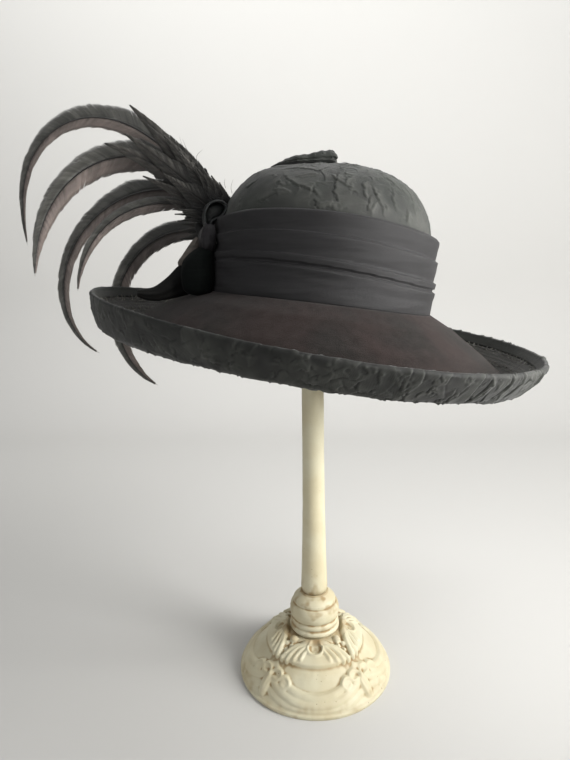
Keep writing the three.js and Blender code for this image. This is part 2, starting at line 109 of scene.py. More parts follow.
def spline(rows: Any, count: int) -> Array:
    """A soft curve through rows of values, at evenly spaced places along it.

    Args:
        rows: The values to pass through, one row for each place.
        count: How many rows to return.

    Returns:
        The curve as count rows.
    """
    known = np.asarray(rows, float)
    steps = np.linalg.norm(np.diff(known, axis=0), axis=1)
    knots = np.concatenate([[0], np.cumsum(np.sqrt(steps))])
    place = np.linspace(0, knots[-1], 12 * count)
    span = np.clip(np.searchsorted(knots, place, side="right") - 1, 0, len(known) - 2)
    slopes = np.gradient(known, knots, axis=0)
    width = (knots[span + 1] - knots[span])[:, None]
    part = ((place - knots[span])[:, None]) / width
    square, cube = part**2, part**3
    fine = (
        (2 * cube - 3 * square + 1) * known[span]
        + (cube - 2 * square + part) * width * slopes[span]
        + (3 * square - 2 * cube) * known[span + 1]
        + (cube - square) * width * slopes[span + 1]
    )
    return evenly(fine, count)


def evenly(points: Array, count: int) -> Array:
    """The same path with its points equally far apart.

    Args:
        points: The path, one row for each point.
        count: How many points to return.

    Returns:
        The path as count rows.
    """
    length = np.concatenate([[0], np.cumsum(np.linalg.norm(np.diff(points, axis=0), axis=1))])
    place = np.linspace(0, length[-1], count)
    return np.stack([np.interp(place, length, column) for column in points.T], axis=1)


def unit(vectors: Array) -> Array:
    """The vectors at length 1."""
    return vectors / np.maximum(np.linalg.norm(vectors, axis=-1, keepdims=True), 1e-9)


def round_about(count: int) -> Array:
    """Evenly spaced angles round a full turn."""
    return np.arange(count) * FULL_TURN / count


class Drift:
    """Smooth random values over space, the same on every run."""

    CELLS = 32
    TILT = np.array(Matrix.Rotation(0.6, 3, "X") @ Matrix.Rotation(0.9, 3, "Y"))

    def __init__(self, seed: int) -> None:
        """Draws the values at the lattice points."""
        self.values = np.random.default_rng(seed).uniform(-1, 1, (self.CELLS,) * 3)

    def at(self, points: Array, size: float) -> Array:
        """The values at points, where the drift changes over a distance of size.

        Args:
            points: Places, as rows of three numbers.
            size: Width of one cell.

        Returns:
            Values from -1 to 1.
        """
        place = points @ self.TILT / size
        low = np.floor(place).astype(int)
        part = place - low
        part = part * part * (3 - 2 * part)
        total = np.zeros(points.shape[:-1])
        for corner in np.ndindex(2, 2, 2):
            weight = np.prod(np.where(corner, part, 1 - part), axis=-1)
            cell = (low + corner) % self.CELLS
            total += weight * self.values[cell[..., 0], cell[..., 1], cell[..., 2]]
        return total


# Meshes.


class Form:
    """The points and faces of one piece, gathered from its parts."""

    def __init__(self) -> None:
        """Starts an empty form."""
        self.points: list[Array] = []
        self.quads: list[Array] = []
        self.ends: list[list[int]] = []
        self.quad_finish: list[Array] = []
        self.end_finish: list[int] = []
        self.marks: dict[str, list[Array]] = {}
        self.count = 0

    def add_points(self, points: Array, marks: dict[str, Array]) -> int:
        """Adds points.

        Args:
            points: Any number of points, as three numbers each.
            marks: Values for the points, by name.

        Returns:
            The first one's number.
        """
        flat = np.asarray(points, float).reshape(-1, 3)
        start = self.count
        self.points.append(flat)
        for name in set(self.marks) | set(marks):
            rows = self.marks.setdefault(name, [np.zeros(start)] if start else [])
            value = marks.get(name)
            rows.append(np.zeros(len(flat)) if value is None else np.asarray(value, float).ravel())
        self.count += len(flat)
        return start

    def add_quads(self, quads: Array, finish: int) -> None:
        """Adds four-sided faces with one finish."""
        self.quads.append(quads.reshape(-1, 4))
        self.quad_finish.append(np.full(len(self.quads[-1]), finish))

    def skin(
        self, points: Array, closed_along: bool = False, finish: int = 0, **marks: Any
    ) -> Array:
        """Adds closed loops of points joined one to the next.

        Args:
            points: Loops by points by three numbers.
            closed_along: Whether the last loop meets the first.
            finish: Which finish the faces take.
            marks: Values for the points, by name.

        Returns:
            The points' numbers, loops by points.
        """
        loops, width = points.shape[:2]
        start = self.add_points(points, marks)
        number = start + np.arange(loops * width).reshape(loops, width)
        here = number if closed_along else number[:-1]
        ahead = np.roll(number, -1, axis=0) if closed_along else number[1:]
        beside, across = np.roll(here, -1, axis=1), np.roll(ahead, -1, axis=1)
        self.add_quads(np.stack([here, beside, across, ahead], axis=-1), finish)
        return number

    def end(self, loop: Array, finish: int = 0) -> None:
        """Closes one loop of points with a face."""
        self.ends.append([int(number) for number in loop])
        self.end_finish.append(finish)

    def capsule(self, points: Array, finish: int = 0, **marks: Any) -> None:
        """Adds loops joined one to the next, with a face at each end."""
        self.strands(points[None], finish, **marks)

    def strands(self, points: Array, finish: int = 0, **marks: Any) -> None:
        """Adds many closed strands at once.

        Args:
            points: Strands by loops by points by three numbers.
            finish: Which finish the faces take.
            marks: Values for the points, by name, strands by loops by points.
        """
        shape = points.shape[:3]
        spread = {name: np.broadcast_to(value, shape) for name, value in marks.items()}
        number = self.add_points(points, spread) + np.arange(math.prod(shape)).reshape(shape)
        here, ahead = number[:, :-1], number[:, 1:]
        beside, across = np.roll(here, -1, axis=2), np.roll(ahead, -1, axis=2)
        self.add_quads(np.stack([here, beside, across, ahead], axis=-1), finish)
        for loop in (number[:, 0, ::-1], number[:, -1]):
            self.ends.extend(loop.tolist())
            self.end_finish.extend([finish] * shape[0])

    def tube(self, path: Array, radius: Any, sides: int = 8, finish: int = 0) -> None:
        """Adds a round tube along a path, with a radius for each of its points."""
        self.capsule(tube_loops(path, radius, sides), finish)

    def settle(
        self, name: str, finishes: Sequence[bpy.types.Material], place: Matrix, slot: str, *nodes: str
    ) -> None:
        """Makes the Blender object, at the origin with its place in its mesh, riding on the body.

        Args:
            name: The piece's name.
            finishes: Its materials, in the order of the finish numbers.
            place: Where the form's frame stands, in metres.
            slot: The record's material slot; not used.
            nodes: The frame's nodes that it stands for.
        """
        points = np.concatenate(self.points)
        turn = np.array(place.to_3x3())
        world = points @ turn.T * MM + np.array(place.translation)
        quads = np.concatenate(self.quads)
        mesh = bpy.data.meshes.new(name)
        mesh.from_pydata(world.tolist(), [], quads.tolist() + self.ends)
        finish = np.concatenate([*self.quad_finish, np.array(self.end_finish, int)])
        mesh.polygons.foreach_set("material_index", finish.astype(np.int32))
        for mark, rows in self.marks.items():
            layer = mesh.attributes.new(mark, "FLOAT", "POINT")
            layer.data.foreach_set("value", np.concatenate(rows).astype(np.float32))
        for material in finishes:
            mesh.materials.append(material)
        shell = bmesh.new()
        shell.from_mesh(mesh)
        bmesh.ops.recalc_face_normals(shell, faces=shell.faces)
        shell.to_mesh(mesh)
        shell.free()
        mesh.polygons.foreach_set("use_smooth", np.ones(len(mesh.polygons), bool))
        mesh.update()
        piece = bpy.data.objects.new(name, mesh)
        bpy.context.scene.collection.objects.link(piece)
        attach(piece, BODY)
        if nodes:
            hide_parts(*nodes)
        LOG.info("%s: %d faces", name, len(mesh.polygons))


def tube_loops(path: Array, radius: Any, sides: int) -> Array:
    """The round loops of a tube along a path.

    Args:
        path: The points along its middle.
        radius: One radius, or one for each point.
        sides: Points in each loop.

    Returns:
        Loops by points by three numbers.
    """
    ahead = unit(np.gradient(path, axis=0))
    side = np.empty_like(path)
    start = np.cross(ahead[0], (0.31, 0.17, 0.94))
    for index, direction in enumerate(ahead):
        start = start - direction * (start @ direction)
        start = start / max(np.linalg.norm(start), 1e-9)
        side[index] = start
    up = np.cross(ahead, side)
    angle = round_about(sides)
    reach = np.broadcast_to(np.asarray(radius, float), len(path))[:, None, None]
    ring = side[:, None] * np.cos(angle)[:, None] + up[:, None] * np.sin(angle)[:, None]
    return path[:, None] + reach * ring


def normals_of(points: Array) -> Array:
    """The directions that face out of a skin.

    Args:
        points: Closed loops, which run anticlockwise going up, by points by three numbers.

    Returns:
        One direction for each point.
    """
    along = np.gradient(points, axis=0)
    across = np.roll(points, -1, axis=1) - np.roll(points, 1, axis=1)
    return unit(np.cross(across, along))


# Shader nodes.


def colour(rgb: Rgb) -> tuple[float, float, float, float]:
    """A colour as a socket takes it.

    Args:
        rgb: Its shares of red, green and blue as a screen shows them, from 0 to 255.

    Returns:
        The linear values, and 1 for opaque.
    """
    shares = [value / 255 for value in rgb]
    linear = [s / 12.92 if s <= 0.04045 else ((s + 0.055) / 1.055) ** 2.4 for s in shares]
    return (*linear, 1.0)


class Wiring:
    """Places and joins the nodes of one shader tree."""

    def __init__(self, tree: bpy.types.NodeTree) -> None:
        """Takes the tree to fill."""
        self.tree = tree

    def node(self, kind: str, inputs: dict[Any, Any] | None = None, **settings: Any) -> bpy.types.Node:
        """Adds one node.

        Args:
            kind: The node's type, without the words ShaderNode.
            inputs: Sockets or plain values for its inputs, by name or number.
            settings: The node's own settings.

        Returns:
            The node.
        """
        node = self.tree.nodes.new("ShaderNode" + kind)
        for name, value in settings.items():
            setattr(node, name, value)
        for name, value in (inputs or {}).items():
            if isinstance(value, bpy.types.NodeSocket):
                self.tree.links.new(value, node.inputs[name])
            else:
                node.inputs[name].default_value = value
        return node

    def calc(self, operation: str, *values: Any) -> bpy.types.NodeSocket:
        """The result of one arithmetic node."""
        return self.node("Math", dict(enumerate(values)), operation=operation).outputs[0]

    def between(self, share: Any, first: Any, second: Any) -> bpy.types.NodeSocket:
        """The colour a share of the way from first to second."""
        node = self.node("Mix", {0: share, 6: first, 7: second}, data_type="RGBA")
        return node.outputs[2]

    def mark(self, name: str) -> bpy.types.NodeSocket:
        """The value that the mesh's points carry under a name."""
        return self.node("Attribute", attribute_name=name).outputs["Fac"]

    def ramp(self, value: Any, low: float, high: float) -> bpy.types.NodeSocket:
        """The value stretched so that low gives 0 and high gives 1."""
        node = self.node("MapRange", {0: value, 1: low, 2: high}, interpolation_type="SMOOTHSTEP")
        return node.outputs[0]


class Effect:
    """A shader node group that several materials share."""

    def __init__(self, name: str, inputs: dict[str, Any], outputs: dict[str, str]) -> None:
        """Makes the group's sockets.

        Args:
            name: The group's name.
            inputs: Each input's default value, a number or a colour, by name.
            outputs: Each output's kind, Float or Color, by name.
        """
        self.tree = bpy.data.node_groups.new(name, "ShaderNodeTree")
        for label, default in inputs.items():
            kind = "NodeSocketColor" if isinstance(default, tuple) else "NodeSocketFloat"
            socket = self.tree.interface.new_socket(name=label, in_out="INPUT", socket_type=kind)
            socket.default_value = default
        for label, kind in outputs.items():
            self.tree.interface.new_socket(name=label, in_out="OUTPUT", socket_type="NodeSocket" + kind)
        self.wiring = Wiring(self.tree)
        self.start = self.tree.nodes.new("NodeGroupInput").outputs
        self.finish = self.tree.nodes.new("NodeGroupOutput").inputs

    def give(self, label: str, socket: bpy.types.NodeSocket) -> None:
        """Joins a socket to one of the group's outputs."""
        self.tree.links.new(socket, self.finish[label])

    def use(self, wiring: Wiring, **inputs: Any) -> bpy.types.NodeOutputs:
        """Places the group in a material.

        Args:
            wiring: The material's wiring.
            inputs: Sockets or plain values for its inputs, by name.

        Returns:
            Its outputs.
        """
        node = wiring.tree.nodes.new("ShaderNodeGroup")
        node.node_tree = self.tree
        for label, value in inputs.items():
            if isinstance(value, bpy.types.NodeSocket):
                wiring.tree.links.new(value, node.inputs[label])
            else:
                node.inputs[label].default_value = value
        return node.outputs


class Effects:
    """The effects that more than one material uses, each made once."""

    def __init__(self) -> None:
        """Makes them all."""
        self.make_weave()
        self.make_mottle()
        self.make_streaks()
        self.make_nap()

    def make_weave(self) -> None:
        """Crossing threads, over and under by turns."""
        effect = self.weave = Effect("thread_weave", {"Threads": 11000.0, "Slub": 0.3}, {"Height": "Float"})
        wiring = effect.wiring
        place = wiring.node("TexCoord").outputs["Object"]
        axes = wiring.node("SeparateXYZ", {0: place}).outputs
        lean = wiring.calc("MULTIPLY", axes[1], 0.55)
        waves = []
        for axis in (axes[0], axes[2]):
            run = wiring.calc("MULTIPLY", wiring.calc("ADD", axis, lean), effect.start["Threads"])
            waves.append(wiring.calc("SINE", run))
        crossing = wiring.calc("MULTIPLY", *waves)
        slub = wiring.node("TexNoise", {"Vector": place, "Scale": 420.0, "Detail": 3.0}).outputs[0]
        rough = wiring.calc("MULTIPLY", slub, effect.start["Slub"])
        effect.give("Height", wiring.calc("MULTIPLY_ADD", crossing, 0.5, rough))

    def make_mottle(self) -> None:
        """Two colours that drift into each other."""
        grey, painted_light_inside = colour((89, 89, 89)), colour((124, 124, 124))
        inputs = {"First": grey, "Second": painted_light_inside, "Scale": 40.0, "Share": 1.0}
        effect = self.mottle = Effect("mottle", inputs, {"Color": "Color", "Mask": "Float"})
        wiring = effect.wiring
        place = wiring.node("TexCoord").outputs["Object"]
        noise = wiring.node("TexNoise", {"Vector": place, "Scale": effect.start["Scale"], "Detail": 5.0})
        mask = wiring.ramp(noise.outputs[0], 0.36, 0.64)
        share = wiring.calc("MULTIPLY", mask, effect.start["Share"])
        effect.give("Color", wiring.between(share, effect.start["First"], effect.start["Second"]))
        effect.give("Mask", mask)

    def make_streaks(self) -> None:
        """Fine streaks that run level round the hat, as the threads of satin do."""
        effect = self.streaks = Effect("streaks", {"Scale": 300.0, "Stretch": 0.06}, {"Value": "Float"})
        wiring = effect.wiring
        place = wiring.node("TexCoord").outputs["Object"]
        axes = wiring.node("SeparateXYZ", {0: place}).outputs
        near = wiring.calc("MULTIPLY", axes[0], effect.start["Stretch"])
        deep = wiring.calc("MULTIPLY", axes[1], effect.start["Stretch"])
        drawn = wiring.node("CombineXYZ", {0: near, 1: deep, 2: axes[2]}).outputs[0]
        noise = wiring.node("TexNoise", {"Vector": drawn, "Scale": effect.start["Scale"], "Detail": 4.0})
        effect.give("Value", noise.outputs[0])

    def make_nap(self) -> None:
        """Short fibres pressed in all directions."""
        effect = self.nap = Effect("nap", {"Scale": 900.0}, {"Height": "Float"})
        wiring = effect.wiring
        place = wiring.node("TexCoord").outputs["Object"]
        fine = wiring.node("TexNoise", {"Vector": place, "Scale": effect.start["Scale"], "Detail": 6.0})
        broad = wiring.node("TexNoise", {"Vector": place, "Scale": 130.0, "Detail": 3.0})
        effect.give("Height", wiring.calc("MULTIPLY_ADD", broad.outputs[0], 0.6, fine.outputs[0]))


class Surface(Wiring):
    """The wiring of one material, round its surface shader."""

    def __init__(self, name: str) -> None:
        """Makes the material.

        Args:
            name: What it is called.
        """
        self.material = bpy.data.materials.new(name)
        self.material.use_nodes = True
        super().__init__(self.material.node_tree)
        self.shader = self.tree.nodes["Principled BSDF"]

    def join(self, label: str, socket: bpy.types.NodeSocket) -> None:
        """Joins a socket to one of the shader's inputs."""
        self.tree.links.new(socket, self.shader.inputs[label])

    def gloss(self, shine: float, sheen: float, softness: float) -> None:
        """Sets how the surface catches the light.

        Args:
            shine: How much it shines.
            sheen: How much its fibres catch.
            softness: How widely they spread it.
        """
        inputs = self.shader.inputs
        inputs["Specular IOR Level"].default_value = shine
        inputs["Sheen Weight"].default_value = sheen
        inputs["Sheen Roughness"].default_value = softness

    def relief(self, height: Any, depth: float) -> None:
        """Gives the surface a fine relief, depth in millimetres."""
        node = self.node("Bump", {"Height": height, "Strength": 1.0, "Distance": depth * MM})
        self.join("Normal", node.outputs[0])


@dataclass(frozen=True)
class EmbossedCloth:
    """Raised figured cloth: darker in its folds as painted shade, and rubbed lighter on its high places."""

    effects: Effects
    name: str = "embossed_cloth"
    folds: Rgb = (26, 27, 25)
    high: Rgb = (62, 63, 59)
    green: Rgb = (35, 42, 36)
    roughness: float = 0.72
    threads: float = 6200.0

    def material(self) -> bpy.types.Material:
        """Builds it.

        Returns:
            The material.
        """
        surface = Surface(self.name)
        # Painted shade: the colour darkens from the high places down into the folds and creases; the
        # lighter high places are rubbed.
        lightness = surface.ramp(surface.mark("raised"), 0.2, 0.85)
        body = surface.between(lightness, colour(self.folds), colour(self.high))
        tinted = self.effects.mottle.use(
            surface, First=body, Second=colour(self.green), Scale=24.0, Share=0.35
        )
        surface.join("Base Color", tinted["Color"])
        rough = surface.calc("MULTIPLY_ADD", tinted["Mask"], 0.12, self.roughness - 0.06)
        surface.join("Roughness", rough)
        surface.gloss(0.35, 0.12, 0.45)
        surface.relief(self.effects.weave.use(surface, Threads=self.threads, Slub=0.6)["Height"], 0.07)
        return surface.material


@dataclass(frozen=True)
class Satin:
    """Smooth ribbon cloth with level threads and a soft gloss."""

    effects: Effects
    name: str
    deep: Rgb
    light: Rgb
    roughness: float
    sheen: float = 0.2
    shine: float = 0.5
    threads: float = 11000.0

    def material(self) -> bpy.types.Material:
        """Builds it.

        Returns:
            The material.
        """
        surface = Surface(self.name)
        streak = self.effects.streaks.use(surface, Scale=420.0, Stretch=0.08)["Value"]
        cloth = surface.between(surface.ramp(streak, 0.3, 0.7), colour(self.deep), colour(self.light))
        tinted = self.effects.mottle.use(
            surface, First=cloth, Second=colour(self.deep), Scale=18.0, Share=0.5
        )
        surface.join("Base Color", tinted["Color"])
        surface.join("Roughness", surface.calc("MULTIPLY_ADD", streak, 0.16, self.roughness - 0.08))
        surface.gloss(self.shine, self.sheen, 0.35)
        threads = self.effects.weave.use(surface, Threads=self.threads, Slub=0.2)["Height"]
        surface.relief(surface.calc("ADD", threads, streak), 0.09)
        return surface.material


@dataclass(frozen=True)
class Felt:
    """Matted fibre with a warm cast that comes and goes."""

    effects: Effects
    name: str = "brim_felt"
    body: Rgb = (16, 14, 12)
    warm: Rgb = (38, 25, 23)
    fibre: Rgb = (78, 71, 67)
    roughness: float = 0.94

    def material(self) -> bpy.types.Material:
        """Builds it.

        Returns:
            The material.
        """
        surface = Surface(self.name)
        tinted = self.effects.mottle.use(
            surface, First=colour(self.body), Second=colour(self.warm), Scale=17.0, Share=0.65
        )
        nap = self.effects.nap.use(surface, Scale=1500.0)["Height"]
        fibres = surface.calc("MULTIPLY", surface.ramp(nap, 0.5, 1.1), 0.22)
        surface.join("Base Color", surface.between(fibres, tinted["Color"], colour(self.fibre)))
        surface.shader.inputs["Roughness"].default_value = self.roughness
        surface.gloss(0.15, 0.06, 0.5)
        surface.relief(nap, 0.35)
        return surface.material


@dataclass(frozen=True)
class Thread:
    """Twisted thread or braid."""

    effects: Effects
    name: str
    deep: Rgb
    light: Rgb
    roughness: float = 0.7

    def material(self) -> bpy.types.Material:
        """Builds it.

        Returns:
            The material.
        """
        surface = Surface(self.name)
        # Painted shade: the colour darkens where the raised mark is low, as where the braid's threads pass
        # under.
        lift = surface.ramp(surface.mark("raised"), 0.1, 0.9)
        cloth = surface.between(lift, colour(self.deep), colour(self.light))
        tinted = self.effects.mottle.use(
            surface, First=cloth, Second=colour(self.deep), Scale=160.0, Share=0.4
        )
        surface.join("Base Color", tinted["Color"])
        surface.shader.inputs["Roughness"].default_value = self.roughness
        surface.gloss(0.5, 0.2, 0.5)
        surface.relief(self.effects.weave.use(surface, Threads=9000.0, Slub=0.7)["Height"], 0.15)
        return surface.material


@dataclass(frozen=True)
class Vane:
    """The barbs of a feather: each has its own tone, and they pale towards their tips."""

    effects: Effects
    name: str
    root: Rgb
    tip: Rgb
    glossy: Rgb
    roughness: float = 0.48
    sheen: float = 0.2
    shine: float = 0.5

    def material(self) -> bpy.types.Material:
        """Builds it.

        Returns:
            The material.
        """
        surface = Surface(self.name)
        length = surface.between(surface.mark("reach"), colour(self.root), colour(self.tip))
        own = surface.calc("MULTIPLY", surface.mark("tone"), 0.6)
        toned = surface.between(own, length, colour(self.glossy))
        tinted = self.effects.mottle.use(
            surface, First=toned, Second=colour(self.root), Scale=60.0, Share=0.35
        )
        surface.join("Base Color", tinted["Color"])
        surface.join("Roughness", surface.calc("MULTIPLY_ADD", tinted["Mask"], 0.15, self.roughness))
        surface.gloss(self.shine, self.sheen, 0.4)
        return surface.material


@dataclass(frozen=True)
class AgedPaint:
    """Cream paint, yellowed, with brown patina lying in the hollows and specks where it is worn."""

    effects: Effects
    name: str = "aged_cream_paint"
    paint: Rgb = (200, 194, 167)
    yellowed: Rgb = (184, 171, 136)
    patina: Rgb = (147, 124, 85)
    pit: Rgb = (112, 88, 60)
    roughness: float = 0.52

    def material(self) -> bpy.types.Material:
        """Builds it.

        Returns:
            The material.
        """
        surface = Surface(self.name)
        place = surface.node("TexCoord").outputs["Object"]
        aged = self.effects.mottle.use(
            surface, First=colour(self.paint), Second=colour(self.yellowed), Scale=30.0, Share=0.55
        )
        hollow = surface.mark("hollow")
        cloud = surface.node("TexNoise", {"Vector": place, "Scale": 70.0, "Detail": 6.0}).outputs[0]
        lying = surface.calc("MULTIPLY", hollow, surface.calc("MULTIPLY_ADD", cloud, 1.5, 0.1))
        share = surface.calc("MULTIPLY", surface.ramp(lying, 0.03, 0.7), 0.95)
        stained = surface.between(share, aged["Color"], colour(self.patina))
        cells = {"Vector": place, "Scale": 210.0, "Randomness": 1.0}
        speck = surface.node("TexVoronoi", cells).outputs[0]
        few = surface.node("TexNoise", {"Vector": place, "Scale": 45.0, "Detail": 1.0}).outputs[0]
        pitted = surface.calc("MULTIPLY", surface.ramp(speck, 0.13, 0.05), surface.ramp(few, 0.56, 0.66))
        dark = surface.calc("MULTIPLY", pitted, 0.7)
        surface.join("Base Color", surface.between(dark, stained, colour(self.pit)))
        surface.join("Roughness", surface.calc("MULTIPLY_ADD", hollow, 0.25, self.roughness))
        brush = surface.node("TexNoise", {"Vector": place, "Scale": 260.0, "Detail": 5.0}).outputs[0]
        surface.relief(surface.calc("MULTIPLY_ADD", pitted, -0.6, brush), 0.18)
        return surface.material


class Wardrobe:
    """Every finish of the hat and its stand, made once."""

    def __init__(self) -> None:
        """Builds the materials."""
        use = Effects()
        self.embossed = EmbossedCloth(use).material()
        # The same figured cloth as the crown in darker colours: painted shade on the rim.
        self.shaded_rim_cloth = EmbossedCloth(use, "shaded_rim_cloth", (10, 10, 9), (54, 55, 51), (18, 22, 18)).material()
        self.band = Satin(use, "band_satin", (26, 25, 26), (36, 35, 36), 0.6, 0.1, 0.34).material()
        self.felt = Felt(use).material()
        self.braid = Thread(use, "woven_braid", (34, 34, 32), (84, 82, 76)).material()
        self.stitch = Thread(use, "edge_stitch", (66, 65, 59), (140, 138, 127)).material()
        self.bow = Satin(use, "bow_satin", (13, 16, 15), (27, 32, 30), 0.42, 0.06).material()
        self.knot = Satin(use, "knot_satin", (17, 15, 17), (30, 26, 29), 0.55, 0.06, 0.3).material()
        self.velvet = Satin(use, "bow_velvet", (7, 10, 9), (15, 19, 17), 0.92, 0.03, 0.12).material()
        self.taupe = Satin(use, "taupe_ribbon", (66, 60, 54), (98, 90, 82), 0.7, 0.1).material()
        self.wing = Satin(use, "bow_wing_velvet", (12, 12, 11), (24, 23, 21), 0.88, 0.05, 0.2).material()
        self.quill = Vane(use, "feather_quill", (24, 22, 20), (40, 36, 33), (44, 40, 37), 0.4).material()
        self.outer_vane = Vane(use, "outer_vane", (40, 40, 37), (94, 93, 87), (112, 111, 105)).material()
        self.inner_vane = Vane(use, "inner_vane", (62, 56, 52), (146, 134, 127), (146, 132, 126)).material()
        hackle = Vane(use, "hackle_barbs", (18, 18, 17), (84, 82, 77), (84, 80, 75), 0.6, 0.08, 0.3)
        self.hackle = hackle.material()
        self.paint = AgedPaint(use).material()


# The hat's own shape, which all its pieces share.


@dataclass(frozen=True)
class HatShape:
    """The formulas of the hat's surfaces, in its own frame."""

    x: float = 5.5
    height: float = 372.5
    front_dip: float = 7.5
    near_side_lift: float = 0.5
    head_half_length: float = 99.5
    head_half_width: float = 87.5
    crown_roundness: float = 0.88
    crown_height: float = 113
    shoulder_height: float = 49
    crown_foot_half_length: float = 95.2
    shoulder_half_length: float = 91.5
    dome_rise_power: float = 2.23
    dome_plan_power: float = 2.04
    dome_front_fullness: float = 5
    dome_back_fullness: float = 4.5
    band_height: float = 64
    band_lean: float = 3
    foot_saddle: float = 2
    band_top_saddle: float = 4.5
    band_gather: float = 3
    brim_reach: float = 98
    brim_forward: float = 1.7
    rim_half_length: float = 197.5
    rim_half_width: float = 178
    trough_out: float = 76
    back_fullness_depth: float = 7

    def place(self) -> Matrix:
        """The hat's place on the stand.

        Returns:
            The turn and shift of its frame, in metres.
        """
        tilt = Matrix.Rotation(-math.radians(self.near_side_lift), 4, "X")
        dip = Matrix.Rotation(math.radians(self.front_dip), 4, "Y")
        return Matrix.Translation((self.x * MM, 0, self.height * MM)) @ tilt @ dip

    def crown_half_length(self, height: Any) -> Array:
        """The size of the crown's outside.

        Args:
            height: Heights up it.

        Returns:
            Its half length at each.
        """
        height = np.asarray(height, float)
        wall = mix(self.crown_foot_half_length, self.shoulder_half_length, height / self.shoulder_height)
        span = self.crown_height - self.shoulder_height
        rise = np.clip((height - self.shoulder_height) / span, 0, 1)
        dome = self.shoulder_half_length * (1 - rise**self.dome_rise_power) ** (1 / self.dome_plan_power)
        return np.where(height <= self.shoulder_height, wall, dome)

    def fullness(self, x: Any, height: Any) -> Array:
        """How far the dome's front and back stand up above an even one.

        Args:
            x: Places along the hat.
            height: Heights on an even dome.

        Returns:
            The rise at each.
        """
        front = self.dome_front_fullness * smooth(x, -20, 60)
        back = self.dome_back_fullness * smooth(-x, 20, 75)
        return (front + back) * smooth(height, self.shoulder_height, 100)

    def crown_point(self, angle: Any, height: Any, half_length: Any) -> Array:
        """Points of the crown.

        Args:
            angle: Angles round the hat.
            height: Heights up the crown.
            half_length: Its half length there.

        Returns:
            The points.
        """
        saddle = self.foot_saddle * np.cos(2 * angle) * np.clip(1 - height / self.shoulder_height, 0, 1)
        x = half_length * np.cos(angle)
        y = half_length * self.crown_roundness * np.sin(angle)
        return np.stack([x, y, height - saddle + self.fullness(x, height)], axis=-1)

    def crown_top(self, x: Any, y: Any) -> Array:
        """The height of the crown's top.

        Args:
            x: Places along the hat.
            y: Places across it.

        Returns:
            The height of its outside above each.
        """
        reach = np.hypot(x, y / self.crown_roundness) / self.shoulder_half_length
        rise = np.clip(1 - reach**self.dome_plan_power, 0, 1) ** (1 / self.dome_rise_power)
        height = self.shoulder_height + (self.crown_height - self.shoulder_height) * rise
        return height + self.fullness(x, height)

    def band_edge(self, angle: Any) -> Array:
        """Height of the band's top edge."""
        gathered = self.band_gather * smooth(-np.cos(angle), 0.6, 1)
        return self.band_height - self.band_top_saddle * np.cos(2 * angle) - gathered

    def band_point(self, angle: Any, share: Any, proud: Any) -> Array:
        """Points of the band.

        Args:
            angle: Angles round the hat.
            share: Shares of the band's height.
            proud: How far each point stands out of the band's plain shape.

        Returns:
            The points.
        """
        lean = proud - self.band_lean * share
        low = -self.foot_saddle * np.cos(2 * angle)
        x = (self.head_half_length + lean) * np.cos(angle)
        y = (self.head_half_width + lean) * np.sin(angle)
        return np.stack([x, y, mix(low, self.band_edge(angle), share)], axis=-1)

    def brim_point(self, angle: Any, out: Any, down: Any) -> Array:
        """Points of the brim, with the rise and fall of the lines that it follows.

        Args:
            angle: Angles round the hat.
            out: From 0 at the head oval to brim_reach at the rim.
            down: Depth below the head oval on a level brim.

        Returns:
            The points.
        """
        share = out / self.brim_reach
        at_trough = self.trough_out / self.brim_reach
        head = np.clip(1 - share / at_trough, 0, 1)
        rim = np.clip((share - at_trough) / (1 - at_trough), 0, 1)
        head_line = -self.foot_saddle * np.cos(2 * angle)
        trough_line = -5.5 * np.cos(angle) - 1.2 * np.sin(angle)
        rim_line = -6.6 * np.cos(angle) + 1.7 * np.sin(angle)
        rim_line = rim_line + 2 * np.cos(2 * angle) + 2.2 * np.sin(2 * angle)
        wave = head * head_line + rim * rim_line + (1 - head - rim) * trough_line
        forward = self.brim_forward * share
        x = mix(self.head_half_length, self.rim_half_length, share) * np.cos(angle) + forward
        y = mix(self.head_half_width, self.rim_half_width, share) * np.sin(angle)
        return np.stack([x, y, wave - down], axis=-1)

    def back_fullness(self, angle: Any) -> Array:
        """How much fuller the rim's lower half stands at the back of the hat."""
        return self.back_fullness_depth * smooth(-np.cos(angle), 0.5, 1)


# Figured cloth.


@dataclass(frozen=True)
class Crease:
    """A pressed line: how high the cloth stands on its left, how far that fades, and its depth."""

    lip: float
    fade: float
    dip: float
    width: float


